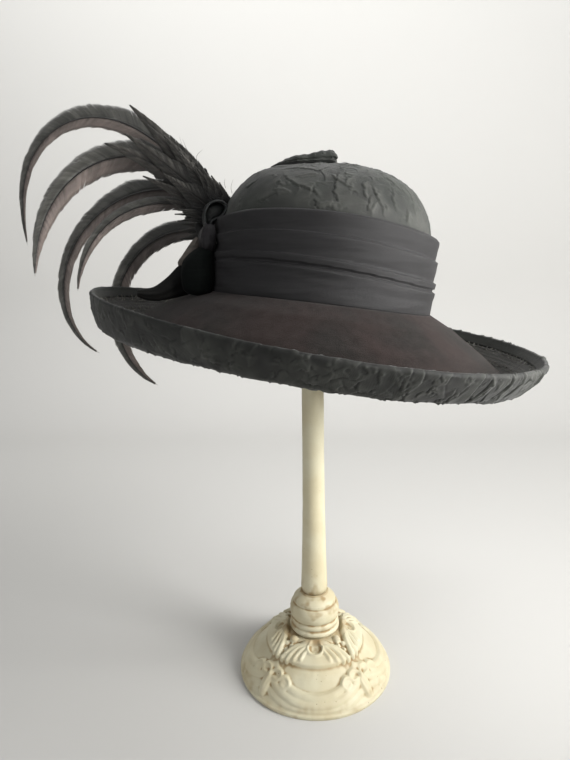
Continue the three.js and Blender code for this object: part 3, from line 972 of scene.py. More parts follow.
class FiguredCloth:
    """The folds and leaves that stand up from a cloth, worked out at every point of it."""

    def __init__(self, points: Array, seed: int) -> None:
        """Takes the plain cloth.

        Args:
            points: Loops by points by three numbers.
            seed: Where the random choices start.
        """
        self.shape = points.shape[:2]
        self.points = points.reshape(-1, 3)
        self.normals = normals_of(points).reshape(-1, 3)
        self.height = np.zeros(len(self.points))
        self.random = np.random.default_rng(seed)
        self.drift = Drift(seed)

    def beside(self, centre: Array, ahead: Array, reach: float) -> tuple[Array, ...]:
        """Points near a place, as lengths along and across a direction.

        Args:
            centre: The place.
            ahead: The direction that counts as along.
            reach: How far to look.

        Returns:
            Which points are near, their lengths along and across, and the two directions.
        """
        away = self.points - centre
        near = np.nonzero((away**2).sum(1) < reach**2)[0]
        facing = self.normals[np.argmin((away**2).sum(1))]
        near = near[self.normals[near] @ facing > 0.2]
        along = ahead - facing * (ahead @ facing)
        along = along / max(np.linalg.norm(along), 1e-9)
        across = np.cross(facing, along)
        return near, away[near] @ along, away[near] @ across, along, across

    def press(self, path: Array, crease: Crease) -> None:
        """Presses a crease along a path of points.

        Args:
            path: The points that it follows, which may lie a little off the cloth.
            crease: The crease's measures.
        """
        centre = path.mean(0)
        longest = np.linalg.norm(path - centre, axis=1).max()
        found = self.beside(centre, path[-1] - path[0], longest + 2.5 * crease.fade)
        near, along, across, forward, sideways = found
        if not len(near):
            return
        bends = np.stack([(path - centre) @ forward, (path - centre) @ sideways], axis=1)
        best = np.full(len(near), np.inf)
        signed = np.zeros(len(near))
        place = np.zeros(len(near))
        steps = len(bends) - 1
        for step in range(steps):
            start, run = bends[step], bends[step + 1] - bends[step]
            length = max(run @ run, 1e-9)
            share = ((along - start[0]) * run[0] + (across - start[1]) * run[1]) / length
            held = np.clip(share, 0, 1)
            away = np.hypot(along - start[0] - held * run[0], across - start[1] - held * run[1])
            side = run[0] * (across - start[1]) - run[1] * (along - start[0])
            nearer = away < best
            best = np.where(nearer, away, best)
            signed = np.where(nearer, np.where(side >= 0, away, -away), signed)
            place = np.where(nearer, (step + held) / steps, place)
        taper = np.sin(np.pi * np.clip(place, 0.02, 0.98)) ** 0.6
        face = smooth(signed, -crease.width, crease.width * 0.4)
        raised = crease.lip * np.exp(-np.maximum(signed, 0) / crease.fade) * face
        sunk = crease.dip * np.exp(-(((signed + crease.width * 0.6) / crease.width) ** 2))
        self.height[near] += taper * (raised - sunk)

    def leaf(self, centre: Array, ahead: Array, length: float, width: float, rise: float) -> None:
        """Raises one leaf, pointed at both ends, with a vein and one sharper edge.

        Args:
            centre: Its middle.
            ahead: The direction that it points in.
            length: How long it is.
            width: How wide it is.
            rise: How high it stands.
        """
        near, along, across, _, _ = self.beside(centre, ahead, length * 0.6)
        share = np.clip(along / (length / 2), -1, 1)
        torn = self.drift.at(self.points[near] + 50, 3.2)
        half = width / 2 * (1 - share**2) ** 0.7 * (1 + 0.55 * torn)
        inside = 1 - np.abs(across) / np.maximum(half, 0.05)
        tipped = 0.55 + 0.45 * across / np.maximum(half, 1)
        swell = smooth(inside, -0.06, 0.16) * tipped * (1 + 0.4 * torn)
        vein = 0.22 * np.exp(-((across / 0.7) ** 2)) * smooth(inside, 0, 0.5)
        self.height[near] = np.maximum(self.height[near], rise * (swell - vein))

    def some(self, count: int, where: Array) -> Array:
        """Random points, by number, among those chosen."""
        return self.random.choice(np.nonzero(where.ravel())[0], count)

    def scatter_leaves(self, count: int, where: Array, rise: float) -> None:
        """Raises leaves at random places.

        Args:
            count: How many.
            where: Which points may be their middles.
            rise: How high they stand.
        """
        for index in self.some(count, where):
            ahead = self.random.normal(size=3)
            length, width = self.random.uniform(12, 24), self.random.uniform(4.5, 8)
            self.leaf(self.points[index], ahead, length, width, rise * self.random.uniform(0.6, 1.1))

    def scatter_nubs(self, count: int, where: Array, rise: float) -> None:
        """Raises the small ends of threads at random places.

        Args:
            count: How many.
            where: Which points may be their middles.
            rise: How high they stand.
        """
        for index in self.some(count, where):
            away = ((self.points - self.points[index]) ** 2).sum(1)
            near = np.nonzero(away < 9)[0]
            size = self.random.uniform(0.7, 1.2)
            self.height[near] += rise * self.random.uniform(0.5, 1.2) * np.exp(-away[near] / size**2)

    def scatter_vines(self, count: int, where: Array, crease: Crease, step: float) -> None:
        """Presses winding lines at random places.

        Args:
            count: How many.
            where: Which points they may start from.
            crease: Their measures.
            step: The length of each of a line's 6 to 12 steps.
        """
        for index in self.some(count, where):
            facing = self.normals[index]
            first = unit(np.cross(facing, self.random.normal(size=3)))
            second = np.cross(facing, first)
            heading, spot, path = 0.0, np.zeros(2), []
            turn = self.random.normal(0, 0.12)
            for _ in range(int(self.random.integers(6, 13))):
                path.append(self.points[index] + first * spot[0] + second * spot[1])
                turn = 0.75 * turn + self.random.normal(0, 0.16)
                heading += turn * 2.2
                spot = spot + step * np.array([math.cos(heading), math.sin(heading)])
            self.press(np.array(path), crease)

    def ripple(self, depth: float, size: float) -> None:
        """Lets the whole cloth rise and fall softly."""
        self.height += depth * self.drift.at(self.points, size)

    def dressed(self, weight: Array, sink: float = 0.5) -> tuple[Array, Array]:
        """The cloth with its relief.

        Args:
            weight: How much of the relief each point takes, from 0 to 1.
            sink: How far the plain cloth lies below its plain shape.

        Returns:
            The raised points, and how raised each is, from 0 to 1.
        """
        height = (self.height - sink) * weight.ravel()
        points = self.points + self.normals * height[:, None]
        # How raised each point is; the embossed cloth's material paints its low places darker with it, as
        # painted shade.
        raised = np.clip(0.42 + self.height * weight.ravel() * 0.45, 0, 1)
        return points.reshape(*self.shape, 3), raised.reshape(self.shape)


# The crown.


@dataclass
class Crown:
    """The round crown of figured cloth, a thin wall open below."""

    shape: HatShape
    wardrobe: Wardrobe
    columns: int = 600
    hidden_rows: int = 5
    shown_rows: int = 122
    inside_rows: int = 10
    wall: float = 2.0
    foot: float = 0.4
    shown_from: float = 52
    peak: float = 112.9
    leaves: int = 26
    vines: int = 60
    crinkles: int = 170
    vine: Crease = Crease(lip=0.5, fade=2.8, dip=0.26, width=0.55)
    deep_crinkle: Crease = Crease(lip=0.62, fade=1.8, dip=0.38, width=0.5)
    crinkle: Crease = Crease(lip=0.48, fade=1.4, dip=0.28, width=0.5)
    front_line: Crease = Crease(lip=0.8, fade=4.0, dip=0.4, width=0.55)
    crinkled_most: float = math.radians(-35)
    seed: int = 41
    # Lines that the front of the crown shows, as angles in degrees and heights.
    front_lines: tuple[tuple[Row, ...], ...] = (
        ((-127, 94.5), (-119, 90), (-112, 87), (-107, 85), (-102.5, 83.5), (-99, 81.5), (-96, 77.5)),
        ((-133, 98.5), (-128.5, 100), (-122, 101.5), (-113, 101.8), (-103.5, 100.6), (-93, 106)),
        (
            (-101, 71.5), (-100.5, 75), (-97.5, 75.5), (-97, 71),
            (-94.5, 70), (-90, 71.5), (-86.5, 69), (-81.5, 74.5),
        ),
        ((-87, 99.5), (-88, 94), (-89.5, 87.5), (-88.5, 80.5), (-86.5, 76), (-84, 73.5)),
        ((-66.5, 89), (-66, 82), (-64, 76.5), (-63, 71.5), (-62, 67.5)),
        ((-51.5, 89.5), (-54, 83.5), (-55, 78), (-55, 73)),
        ((-68.5, 83), (-71.5, 75), (-72, 68)),
        ((-45, 77), (-47, 71.5), (-47.5, 66), (-44, 64)),
        ((-63, 93.5), (-50.5, 97), (-46, 91.5), (-42, 88)),
        ((-150.5, 82), (-146, 80), (-142.5, 87)),
        ((-131, 70), (-126.5, 72.5), (-123, 77), (-119.5, 81)),
        ((-37, 93), (-36.5, 84), (-39, 78)),
    )
    # Leaves that the front of the crown shows: angle, height, lean in degrees, length and width.
    front_leaves: tuple[Row, ...] = (
        (-70, 87, 85, 18, 9),
        (-79, 93, 70, 15, 6),
        (-46, 70, 60, 12, 6),
        (-118, 80, -20, 15, 5),
        (-108, 95, 10, 18, 6),
        (-91, 73.5, 8, 17, 5),
    )

    def surface(self, heights: Array, inset: float) -> Array:
        """The crown's oval loops.

        Args:
            heights: Where they lie.
            inset: How far they are drawn in from the outside.

        Returns:
            Loops by points by three numbers.
        """
        lifted = np.where(heights > self.shape.shoulder_height, heights + inset * 0.9, heights)
        half = self.shape.crown_half_length(np.minimum(lifted, self.peak)) - inset
        angle, height = np.meshgrid(round_about(self.columns), heights)
        return self.shape.crown_point(angle, height, np.maximum(half, 1.0)[:, None])

    def heights(self, low: float, high: float, count: int) -> Array:
        """Heights that stand evenly along the crown's outline.

        Args:
            low: The lowest.
            high: The highest.
            count: How many.

        Returns:
            The heights.
        """
        fine = np.linspace(low, high, 4000)
        outline = np.stack([self.shape.crown_half_length(fine), fine], axis=1)
        return evenly(outline, count)[:, 1]

    def on_front(self, angle: float, height: float) -> Array:
        """The crown's outside at an angle in degrees and a height."""
        half = self.shape.crown_half_length(height)
        return self.shape.crown_point(math.radians(angle), np.float64(height), half)

    def figure(self, cloth: FiguredCloth, heights: Array) -> None:
        """Raises the leaves and presses the lines of the crown's cloth.

        Args:
            cloth: The cloth.
            heights: The height of each of its points.
        """
        around = round_about(self.columns)[None, :]
        shown = heights > self.shape.band_edge(around) + 2
        cloth.scatter_leaves(self.leaves, shown, 0.75)
        cloth.scatter_vines(self.vines, shown, self.vine, 3.0)
        right = shown & (np.cos(around - self.crinkled_most) > 0.55)
        cloth.scatter_vines(self.crinkles // 2, right, self.deep_crinkle, 1.4)
        cloth.scatter_vines(self.crinkles, shown, self.crinkle, 1.2)
        for angle, height, lean, length, width in self.front_leaves:
            ahead = np.array([math.cos(math.radians(lean)), 0, math.sin(math.radians(lean))])
            cloth.leaf(self.on_front(angle, height), ahead, length, width, 1.0)
        for line in self.front_lines:
            path = spline([self.on_front(angle, height) for angle, height in line], 5 * len(line))
            path = path + cloth.random.normal(0, 0.6, path.shape)
            cloth.press(path, self.front_line)
        cloth.ripple(0.45, 26)
        cloth.ripple(0.18, 6)

    def build(self) -> None:
        """Builds the crown and gives it its cloth."""
        low = self.heights(self.foot, self.shown_from, self.hidden_rows)[:-1]
        outside = np.concatenate([low, self.heights(self.shown_from, self.peak, self.shown_rows)])
        cloth = FiguredCloth(self.surface(outside, 0.0), self.seed)
        around, heights = np.meshgrid(round_about(self.columns), outside)
        self.figure(cloth, heights)
        above_band = smooth(heights - self.shape.band_edge(around), -2, 4)
        points, raised = cloth.dressed(above_band * smooth(-heights, -self.peak, -self.peak + 0.3))
        inside = self.heights(self.foot, self.peak - self.wall - 0.6, self.inside_rows)
        inner = self.surface(inside, self.wall)
        form = Form()
        skin = np.concatenate([points[::-1], inner])
        form.capsule(skin, raised=np.concatenate([raised[::-1], np.zeros(inner.shape[:2])]))
        finishes = [self.wardrobe.embossed]
        form.settle("crown_cloth", finishes, self.shape.place(), "embossed_fabric", "crown")


@dataclass
class CrownTab:
    """The flat folded loop of the crown's cloth that lies on top."""

    shape: HatShape
    wardrobe: Wardrobe
    columns: int = 120
    sides: int = 100
    seat: float = 0.2
    groove: float = 1.5
    crinkle: Crease = Crease(lip=0.5, fade=1.6, dip=0.35, width=0.5)
    seed: int = 52
    # Place along the hat, thickness and half depth.
    rows: tuple[Row, ...] = (
        (-54, 1.4, 4), (-46, 4.0, 9), (-37, 6.6, 12.5), (-26, 8.6, 14),
        (-14, 10.3, 14.5), (-6, 11.4, 14), (-2, 11.2, 13), (-0.4, 10.6, 12), (0.2, 9.6, 10.5),
    )

    def section(self) -> tuple[Array, Array]:
        """The tab's plain form.

        Returns:
            Its points, loops by points by three numbers, and how far up each side faces.
        """
        angle = round_about(self.sides)
        x, thick, deep = (column[:, None] for column in spline(self.rows, self.columns).T)
        across = np.sign(np.cos(angle)) * np.abs(np.cos(angle)) ** 0.5
        upright = np.sign(np.sin(angle)) * np.abs(np.sin(angle)) ** 0.85
        layer = self.groove * np.exp(-((upright / 0.22) ** 2)) * smooth(thick, 3, 6)
        scallop = 0.3 * np.sin(x * 0.31 + 0.8 * across) + 0.28 * np.sin(x * 0.87 + 1 + 1.8 * across)
        y = across * (deep - layer + 0.4 * np.sin(x * 0.43 + 2))
        base = self.shape.crown_top(x, y)
        crest = self.shape.crown_top(x, y * 0.3)
        top = crest + thick * (1 - 0.35 * np.abs(across) ** 4) + scallop * smooth(thick, 2, 5)
        level = (upright + 1) / 2
        z = mix(base, top, level) + self.seat
        upper_lip = 1.5 * np.exp(-(((level - 0.68) / 0.2) ** 2))
        folded = upper_lip - 2.2 * np.exp(-(((level - 0.34) / 0.08) ** 2))
        x = x + smooth(x, -9, 0) * (folded - 2.0 * smooth(level, 0.84, 1))
        return np.stack(np.broadcast_arrays(x, y, z), axis=-1), upright

    def build(self) -> None:
        """Builds the tab and gives it its cloth."""
        points, upright = self.section()
        cloth = FiguredCloth(points, self.seed)
        if float((cloth.normals * (cloth.points - cloth.points.mean(0))).sum()) < 0:
            cloth.normals = -cloth.normals
        above = np.broadcast_to(upright > 0.1, cloth.shape)
        cloth.scatter_leaves(5, above, 0.5)
        cloth.scatter_vines(26, above, self.crinkle, 1.4)
        cloth.ripple(0.3, 8)
        column = np.arange(self.columns)
        ends = smooth(column, 0, 10) * smooth(-column, -self.columns + 1, -self.columns + 8)
        points, raised = cloth.dressed(ends[:, None] * smooth(upright, -0.6, 0)[None, :])
        form = Form()
        form.capsule(points, raised=raised)
        finishes = [self.wardrobe.embossed]
        form.settle("crown_loop", finishes, self.shape.place(), "embossed_fabric", "crown_tab")


# The band.


@dataclass(frozen=True)
class BandFold:
    """One long fold: its height at the back and the front, and how far it stands out under it."""

    back: float
    front: float
    proud: float
    crisp: float


@dataclass
class Hatband:
    """The wide satin band, wrapped in long folds that cross it on a slant."""

    shape: HatShape
    wardrobe: Wardrobe
    columns: int = 360
    rows: int = 86
    inside_rows: int = 6
    folds: tuple[BandFold, ...] = (
        BandFold(0.41, 0.30, 1.6, 0.013),
        BandFold(0.53, 0.43, 1.6, 0.011),
        BandFold(0.77, 0.72, 1.55, 0.013),
    )
    tuck: float = 0.9
    sewn_down: float = 1.2
    bow_angle: float = math.radians(200)
    seed: int = 63

    def outline(self, angle: float, share: Array) -> Array:
        """The band's outline at one angle.

        Args:
            angle: The angle.
            share: Shares of its height.

        Returns:
            How far it stands out at each.
        """
        places, proud = [0.0, 0.02, 0.05], [-0.9, -0.2, 0.05]
        for fold in self.folds:
            middle = mix(fold.front, fold.back, 0.5 - 0.5 * math.cos(angle))
            middle += 0.006 * math.sin(3 * angle + 40 * fold.crisp)
            lip = (middle - 0.1, middle - 0.02 - fold.crisp, middle - fold.crisp * 0.4)
            places += [*lip, middle + fold.crisp, middle + fold.crisp + 0.03]
            proud += [fold.proud * 0.55, fold.proud * 0.95, fold.proud, -self.tuck, -self.tuck * 0.75]
        places += [0.93, 0.975, 1.0]
        proud += [0.35, 0.55, -0.7]
        return np.interp(share, places, proud)

    def build(self) -> None:
        """Builds the band and gives it its satin."""
        angles = round_about(self.columns)
        share = np.linspace(0, 1, self.rows)
        proud = np.stack([self.outline(angle, share) for angle in angles], axis=1)
        angle, height = np.meshgrid(angles, share)
        to_bow = np.exp(-(((angle - self.bow_angle) / 0.35) ** 2))
        points = self.shape.band_point(angle, height, mix(proud, np.maximum(proud, 0.5), to_bow))
        drift = Drift(self.seed)
        drawn = points * np.array([0.16, 0.16, 1.0])
        soft = 0.5 * drift.at(drawn, 9) + 0.22 * drift.at(drawn + 40, 4)
        pulled = 0.5 * np.sin(height * 26 + (angle - 3.5) * 14) * to_bow
        lift = (soft + pulled) * smooth(height, 0, 0.06) * smooth(-height, -1, -0.94)
        points = points + normals_of(points) * lift[..., None]
        points[..., 2] -= self.sewn_down * smooth(-height, -0.04, 0)
        levels = np.linspace(1, 0, self.inside_rows)
        low, high = points[0, :, 2] + 2.5, points[-1, :, 2] - 0.8
        inner_height = mix(low[None], high[None], levels[:, None])
        around = np.broadcast_to(angles, inner_height.shape)
        reach = self.shape.crown_half_length(inner_height) + 1.2
        inside = self.shape.crown_point(around, inner_height, reach)
        form = Form()
        form.skin(np.concatenate([points, inside]), closed_along=True)
        finishes = [self.wardrobe.band]
        form.settle("hatband_satin", finishes, self.shape.place(), "band_satin", "hatband")


# The brim.

# Out and down along the felt, from under the band to the trough.
FELT_SLOPE = ((-5.5, 0.4), (0, 0.6), (20, 10), (48, 27.3), (72, 44.2))


@dataclass
class BrimFelt:
    """The felt that slopes from the band down to the trough behind the rim."""

    shape: HatShape
    wardrobe: Wardrobe
    columns: int = 300
    rows: int = 30
    thickness: float = 2.0
    seed: int = 74

    def build(self) -> None:
        """Builds the felt and gives it its finish."""
        slope = evenly(np.array(FELT_SLOPE, float), self.rows)
        angle, out = np.meshgrid(round_about(self.columns), slope[:, 0])
        down = slope[:, [1]]
        over = self.shape.brim_point(angle, out, down)
        drift = Drift(self.seed)
        wave = 0.55 * drift.at(over, 38) + 0.2 * drift.at(over, 12)
        over[..., 2] += wave * smooth(out, 2, 20) * 0.8
        under = self.shape.brim_point(angle, out, down + self.thickness)[::-1]
        form = Form()
        form.skin(np.concatenate([over, under]), closed_along=True)
        finishes = [self.wardrobe.felt]
        form.settle("brim_felt_cloth", finishes, self.shape.place(), "brown_felt", "brim_felt")


@dataclass
class BrimCover:
    """The figured cloth under the brim, wrapped over the turned-up rim and folded inside it."""

    shape: HatShape
    wardrobe: Wardrobe
    columns: int = 1170
    crowding: float = 0.38
    crowded_at: float = math.radians(-52)
    under_rows: int = 10
    outside_rows: int = 42
    inside_rows: int = 20
    felt_thickness: float = 2.0
    gap: float = 0.4
    thickness: float = 1.8
    pleat_lip: float = 1.25
    leaves: int = 60
    nubs: tuple[int, int] = (150, 170)
    vine: Crease = Crease(lip=0.6, fade=3, dip=0.45, width=0.6)
    crinkle: Crease = Crease(lip=0.75, fade=1.6, dip=0.5, width=0.5)
    fine_crinkle: Crease = Crease(lip=0.8, fade=1.8, dip=0.6, width=0.45)
    under_vine: Crease = Crease(lip=0.7, fade=3, dip=0.5, width=0.7)
    seed: int = 85
    # Out, down and fullness at the back, from the trough up the outside and over the edge.
    outside: tuple[Row, ...] = (
        (72, 49.0, 0.4), (76, 50.2, 0.7), (83, 47.4, 1.0), (92, 35, 0.5),
        (97.3, 24.5, 0.0), (97.8, 21.6, 0.0), (96.4, 20.0, 0.0), (94.2, 20.8, 0.0),
    )
    inside: tuple[Row, ...] = (
        (94.2, 20.8, 0.0), (92.8, 23.4, 0.1), (91.0, 26.6, 0.2),
        (90.2, 28.2, 0.25), (90.6, 29.4, 0.25), (91.6, 30.0, 0.25),
    )
    under_braid: tuple[Row, ...] = ((91.6, 30.0, 0.25), (80, 47, 0.9), (76, 48.2, 0.6))

    def section(self) -> tuple[Array, Array]:
        """The closed section of the cover.

        Returns:
            Rows of out, down and fullness, and how much of the relief each row takes.
        """
        slope = np.array([row for row in FELT_SLOPE if row[0] != 0], float)
        drop = self.felt_thickness + self.gap
        flat = np.zeros((len(slope), 1))
        below = np.hstack([slope + [0, drop + self.thickness], flat])
        above = np.hstack([slope + [0, drop], flat])[::-1]
        parts = [
            (evenly(below, self.under_rows)[:-1], 0.55),
            (spline(self.outside, self.outside_rows)[:-1], 1.0),
            (spline(self.inside, self.inside_rows)[:-1], 0.24),
            (evenly(np.array(self.under_braid), 6), 0.0),
            (evenly(above, 5)[1:], 0.0),
        ]
        rows = np.concatenate([part for part, _ in parts])
        weight = np.concatenate([np.full(len(part), share) for part, share in parts])
        softened = np.convolve(np.pad(weight, 2, mode="edge"), np.ones(5) / 5, mode="valid")
        return rows, np.minimum(softened, np.where(weight > 0, 1, 0))

    def angles(self) -> Array:
        """The columns' angles, crowded together where the cloth is drawn up most."""
        even = round_about(self.columns)
        return even - self.crowding * (np.sin(even - self.crowded_at) + math.sin(self.crowded_at))

    def gathers(self, cloth: FiguredCloth, angle: Array) -> None:
        """Lays the pleats that cross the rim where the cloth is drawn over it.

        Args:
            cloth: The cloth to lay them in.
            angle: The angle of each of its points.
        """
        random = cloth.random
        base = cloth.points.reshape(*cloth.shape, 3)
        stretch = np.linalg.norm(np.gradient(base, axis=1), axis=2) / np.gradient(angle, axis=1)
        row = np.arange(cloth.shape[0])[:, None]
        first = self.under_rows + 3
        last = self.under_rows + self.outside_rows + self.inside_rows - 6
        share = np.clip((row - first) / (last - first), 0, 1)
        height = np.zeros(cloth.shape)
        place = 0.0
        while place < FULL_TURN:
            drawn = 0.14 + 0.86 * float(smooth(math.cos(place), -0.1, 0.75))
            low = first + int(random.integers(0, 34) * random.uniform(0.3, 1))
            high = last - int(random.integers(0, 40) * random.uniform(0.1, 1))
            bow = random.uniform(0.05, 0.12) * (1 if random.random() < 0.8 else -0.5)
            turn = place + bow * np.sin(np.pi * share) + random.uniform(-0.05, 0.05) * (share - 0.5)
            away = ((angle - turn + math.pi) % FULL_TURN - math.pi) * stretch
            if random.random() < 0.35:
                away = -away
            fade = random.uniform(4, 10)
            lip = self.pleat_lip * drawn * random.uniform(0.3, 1.2)
            face = np.clip(1 - away / fade, 0, 1) ** 1.3 * smooth(away, -0.5, 0.3)
            sunk = 0.35 * np.exp(-(((away + 0.5) / 0.55) ** 2))
            height += lip * (face - sunk) * smooth(row, low, low + 6) * smooth(-row, -high, -high + 6)
            place += random.uniform(0.03, 0.085) / (0.6 + 0.4 * drawn)
        cloth.height += height.ravel()

    def figure(self, cloth: FiguredCloth, angle: Array) -> None:
        """Raises the leaves, pleats and creases of the cover's cloth.

        Args:
            cloth: The cloth.
            angle: The angle of each of its points.
        """
        row = np.arange(cloth.shape[0])[:, None] + np.zeros(cloth.shape, int)
        edge = self.under_rows + self.outside_rows - 7
        outer = (row > self.under_rows) & (row <= edge)
        below = row < self.under_rows - 2
        plain = outer & (np.cos(angle) < 0.5)
        cloth.scatter_leaves(self.leaves, plain, 0.6)
        cloth.scatter_leaves(self.leaves, below, 0.8)
        self.gathers(cloth, angle)
        cloth.scatter_vines(110, plain, self.vine, 2.6)
        cloth.scatter_vines(300, plain, self.crinkle, 1.3)
        cloth.scatter_vines(110, outer & ~plain, self.fine_crinkle, 1.1)
        cloth.scatter_vines(60, below, self.under_vine, 4.2)
        at_turn, at_fold = self.nubs
        cloth.scatter_nubs(at_turn, (row > self.under_rows) & (row < self.under_rows + 12), 0.8)
        cloth.scatter_nubs(at_fold, np.abs(row - edge) < 7, 0.9)
        cloth.ripple(0.35, 16)
        cloth.ripple(0.2, 5)

    def build(self) -> None:
        """Builds the cover and gives it its cloth."""
        rows, weight = self.section()
        angle, out = np.meshgrid(self.angles(), rows[:, 0])
        full = self.shape.back_fullness(angle) * rows[:, [2]]
        cloth = FiguredCloth(self.shape.brim_point(angle, out + full, rows[:, [1]]), self.seed)
        self.figure(cloth, angle)
        points, raised = cloth.dressed(np.broadcast_to(weight[:, None], cloth.shape))
        turned_in = self.under_rows + self.outside_rows
        # Painted light: the turned-in cloth inside the rim is given a paler colour.
        painted_light_inside = smooth(np.arange(len(rows)), turned_in - 4, turned_in + 6)
        form = Form()
        form.skin(points, closed_along=True, raised=np.clip(raised + 0.28 * painted_light_inside[:, None], 0, 1))
        finishes = [self.wardrobe.shaded_rim_cloth]
        form.settle("brim_cover_cloth", finishes, self.shape.place(), "embossed_fabric", "brim_cover")


@dataclass
class RimBraid:
    """The woven braid inside the rim, with a row of looped stitches along each edge."""

    shape: HatShape
    wardrobe: Wardrobe
    columns: int = 900
    rows: int = 16
    gap: float = 0.4
    thickness: float = 1.1
    # Out, down and fullness at the back, along the braid's upper and lower edge.
    face: tuple[Row, ...] = ((91.2, 30.4, 0.28), (79.2, 46.4, 0.85))
    width: float = 20.0
    middle_reach: float = 188
    loops: int = 170
    loop_steps: int = 12
    loop_height: float = 2.2
    # Where each row of stitches runs, as a share of the width, and its size beside the full one.
    stitching: tuple[Row, ...] = ((0.04, 1.0), (0.62, 0.8))
    thread: float = 0.34
    plait: float = 3.4
    seed: int = 96

    def uneven(self, random: np.random.Generator, steps: int) -> Array:
        """Values from -1 to 1 that change from one loop of the stitches to the next."""
        drawn = random.uniform(-1, 1, self.loops)
        return np.interp(np.linspace(0, self.loops, steps), range(self.loops + 1), [*drawn, drawn[0]])

    def layer(self, angle: Array, share: Array, lift: Any) -> Array:
        """Points of the braid.

        Args:
            angle: Angles round the hat.
            share: Shares of the way down its face.
            lift: How far each lies off the cloth.

        Returns:
            The points.
        """
        top, bottom = np.array(self.face)
        out, down, full = (mix(top[index], bottom[index], share) for index in range(3))
        reach = out + self.shape.back_fullness(angle) * full - lift
        return self.shape.brim_point(angle, reach, down - lift * 0.5)

    def stitch(self, form: Form) -> None:
        """Adds the looped stitches.

        Args:
            form: The form to add to.
        """
        steps = self.loops * self.loop_steps
        turn = round_about(steps)
        phase = turn * self.loops
        random = np.random.default_rng(self.seed)
        for middle, scale in self.stitching:
            height = self.loop_height * scale
            size, slip, depth = (self.uneven(random, steps) for _ in range(3))
            along = turn + (0.39 + 0.3 * slip) * (FULL_TURN / self.loops) * np.sin(phase)
            place = middle + height / self.width * ((0.8 + 0.5 * size) * np.cos(phase) + 0.5 * slip)
            lift = self.gap + self.thickness + 0.55 + 0.35 * np.sin(phase * 0.5) + 0.6 * depth
            loops = tube_loops(self.layer(along, place, lift), self.thread, 4)
            lightness = np.broadcast_to(0.45 + 0.45 * size[:, None], loops.shape[:2])
            form.skin(loops, closed_along=True, finish=1, raised=lightness)

    def build(self) -> None:
        """Builds the braid and its stitches, and gives them their finishes."""
        angle, share = np.meshgrid(round_about(self.columns), np.linspace(0, 1, self.rows))
        run = angle * self.middle_reach / self.plait
        width = share * self.width / self.plait
        over = 0.5 + 0.5 * np.sin(np.pi * (run + width)) * np.sin(np.pi * (run - width))
        front = self.layer(angle, share, self.gap + self.thickness + 0.7 * over)
        back = self.layer(angle, share, self.gap)[::-1]
        form = Form()
        # The raised mark follows the weave, so the threads that pass under are painted darker, as painted
        # shade.
        form.skin(np.concatenate([front, back]), closed_along=True, raised=np.concatenate([over, over * 0]))
        self.stitch(form)
        finishes = [self.wardrobe.braid, self.wardrobe.stitch]
        form.settle("rim_braid_weave", finishes, self.shape.place(), "woven_braid", "rim_braid")


# The bow.


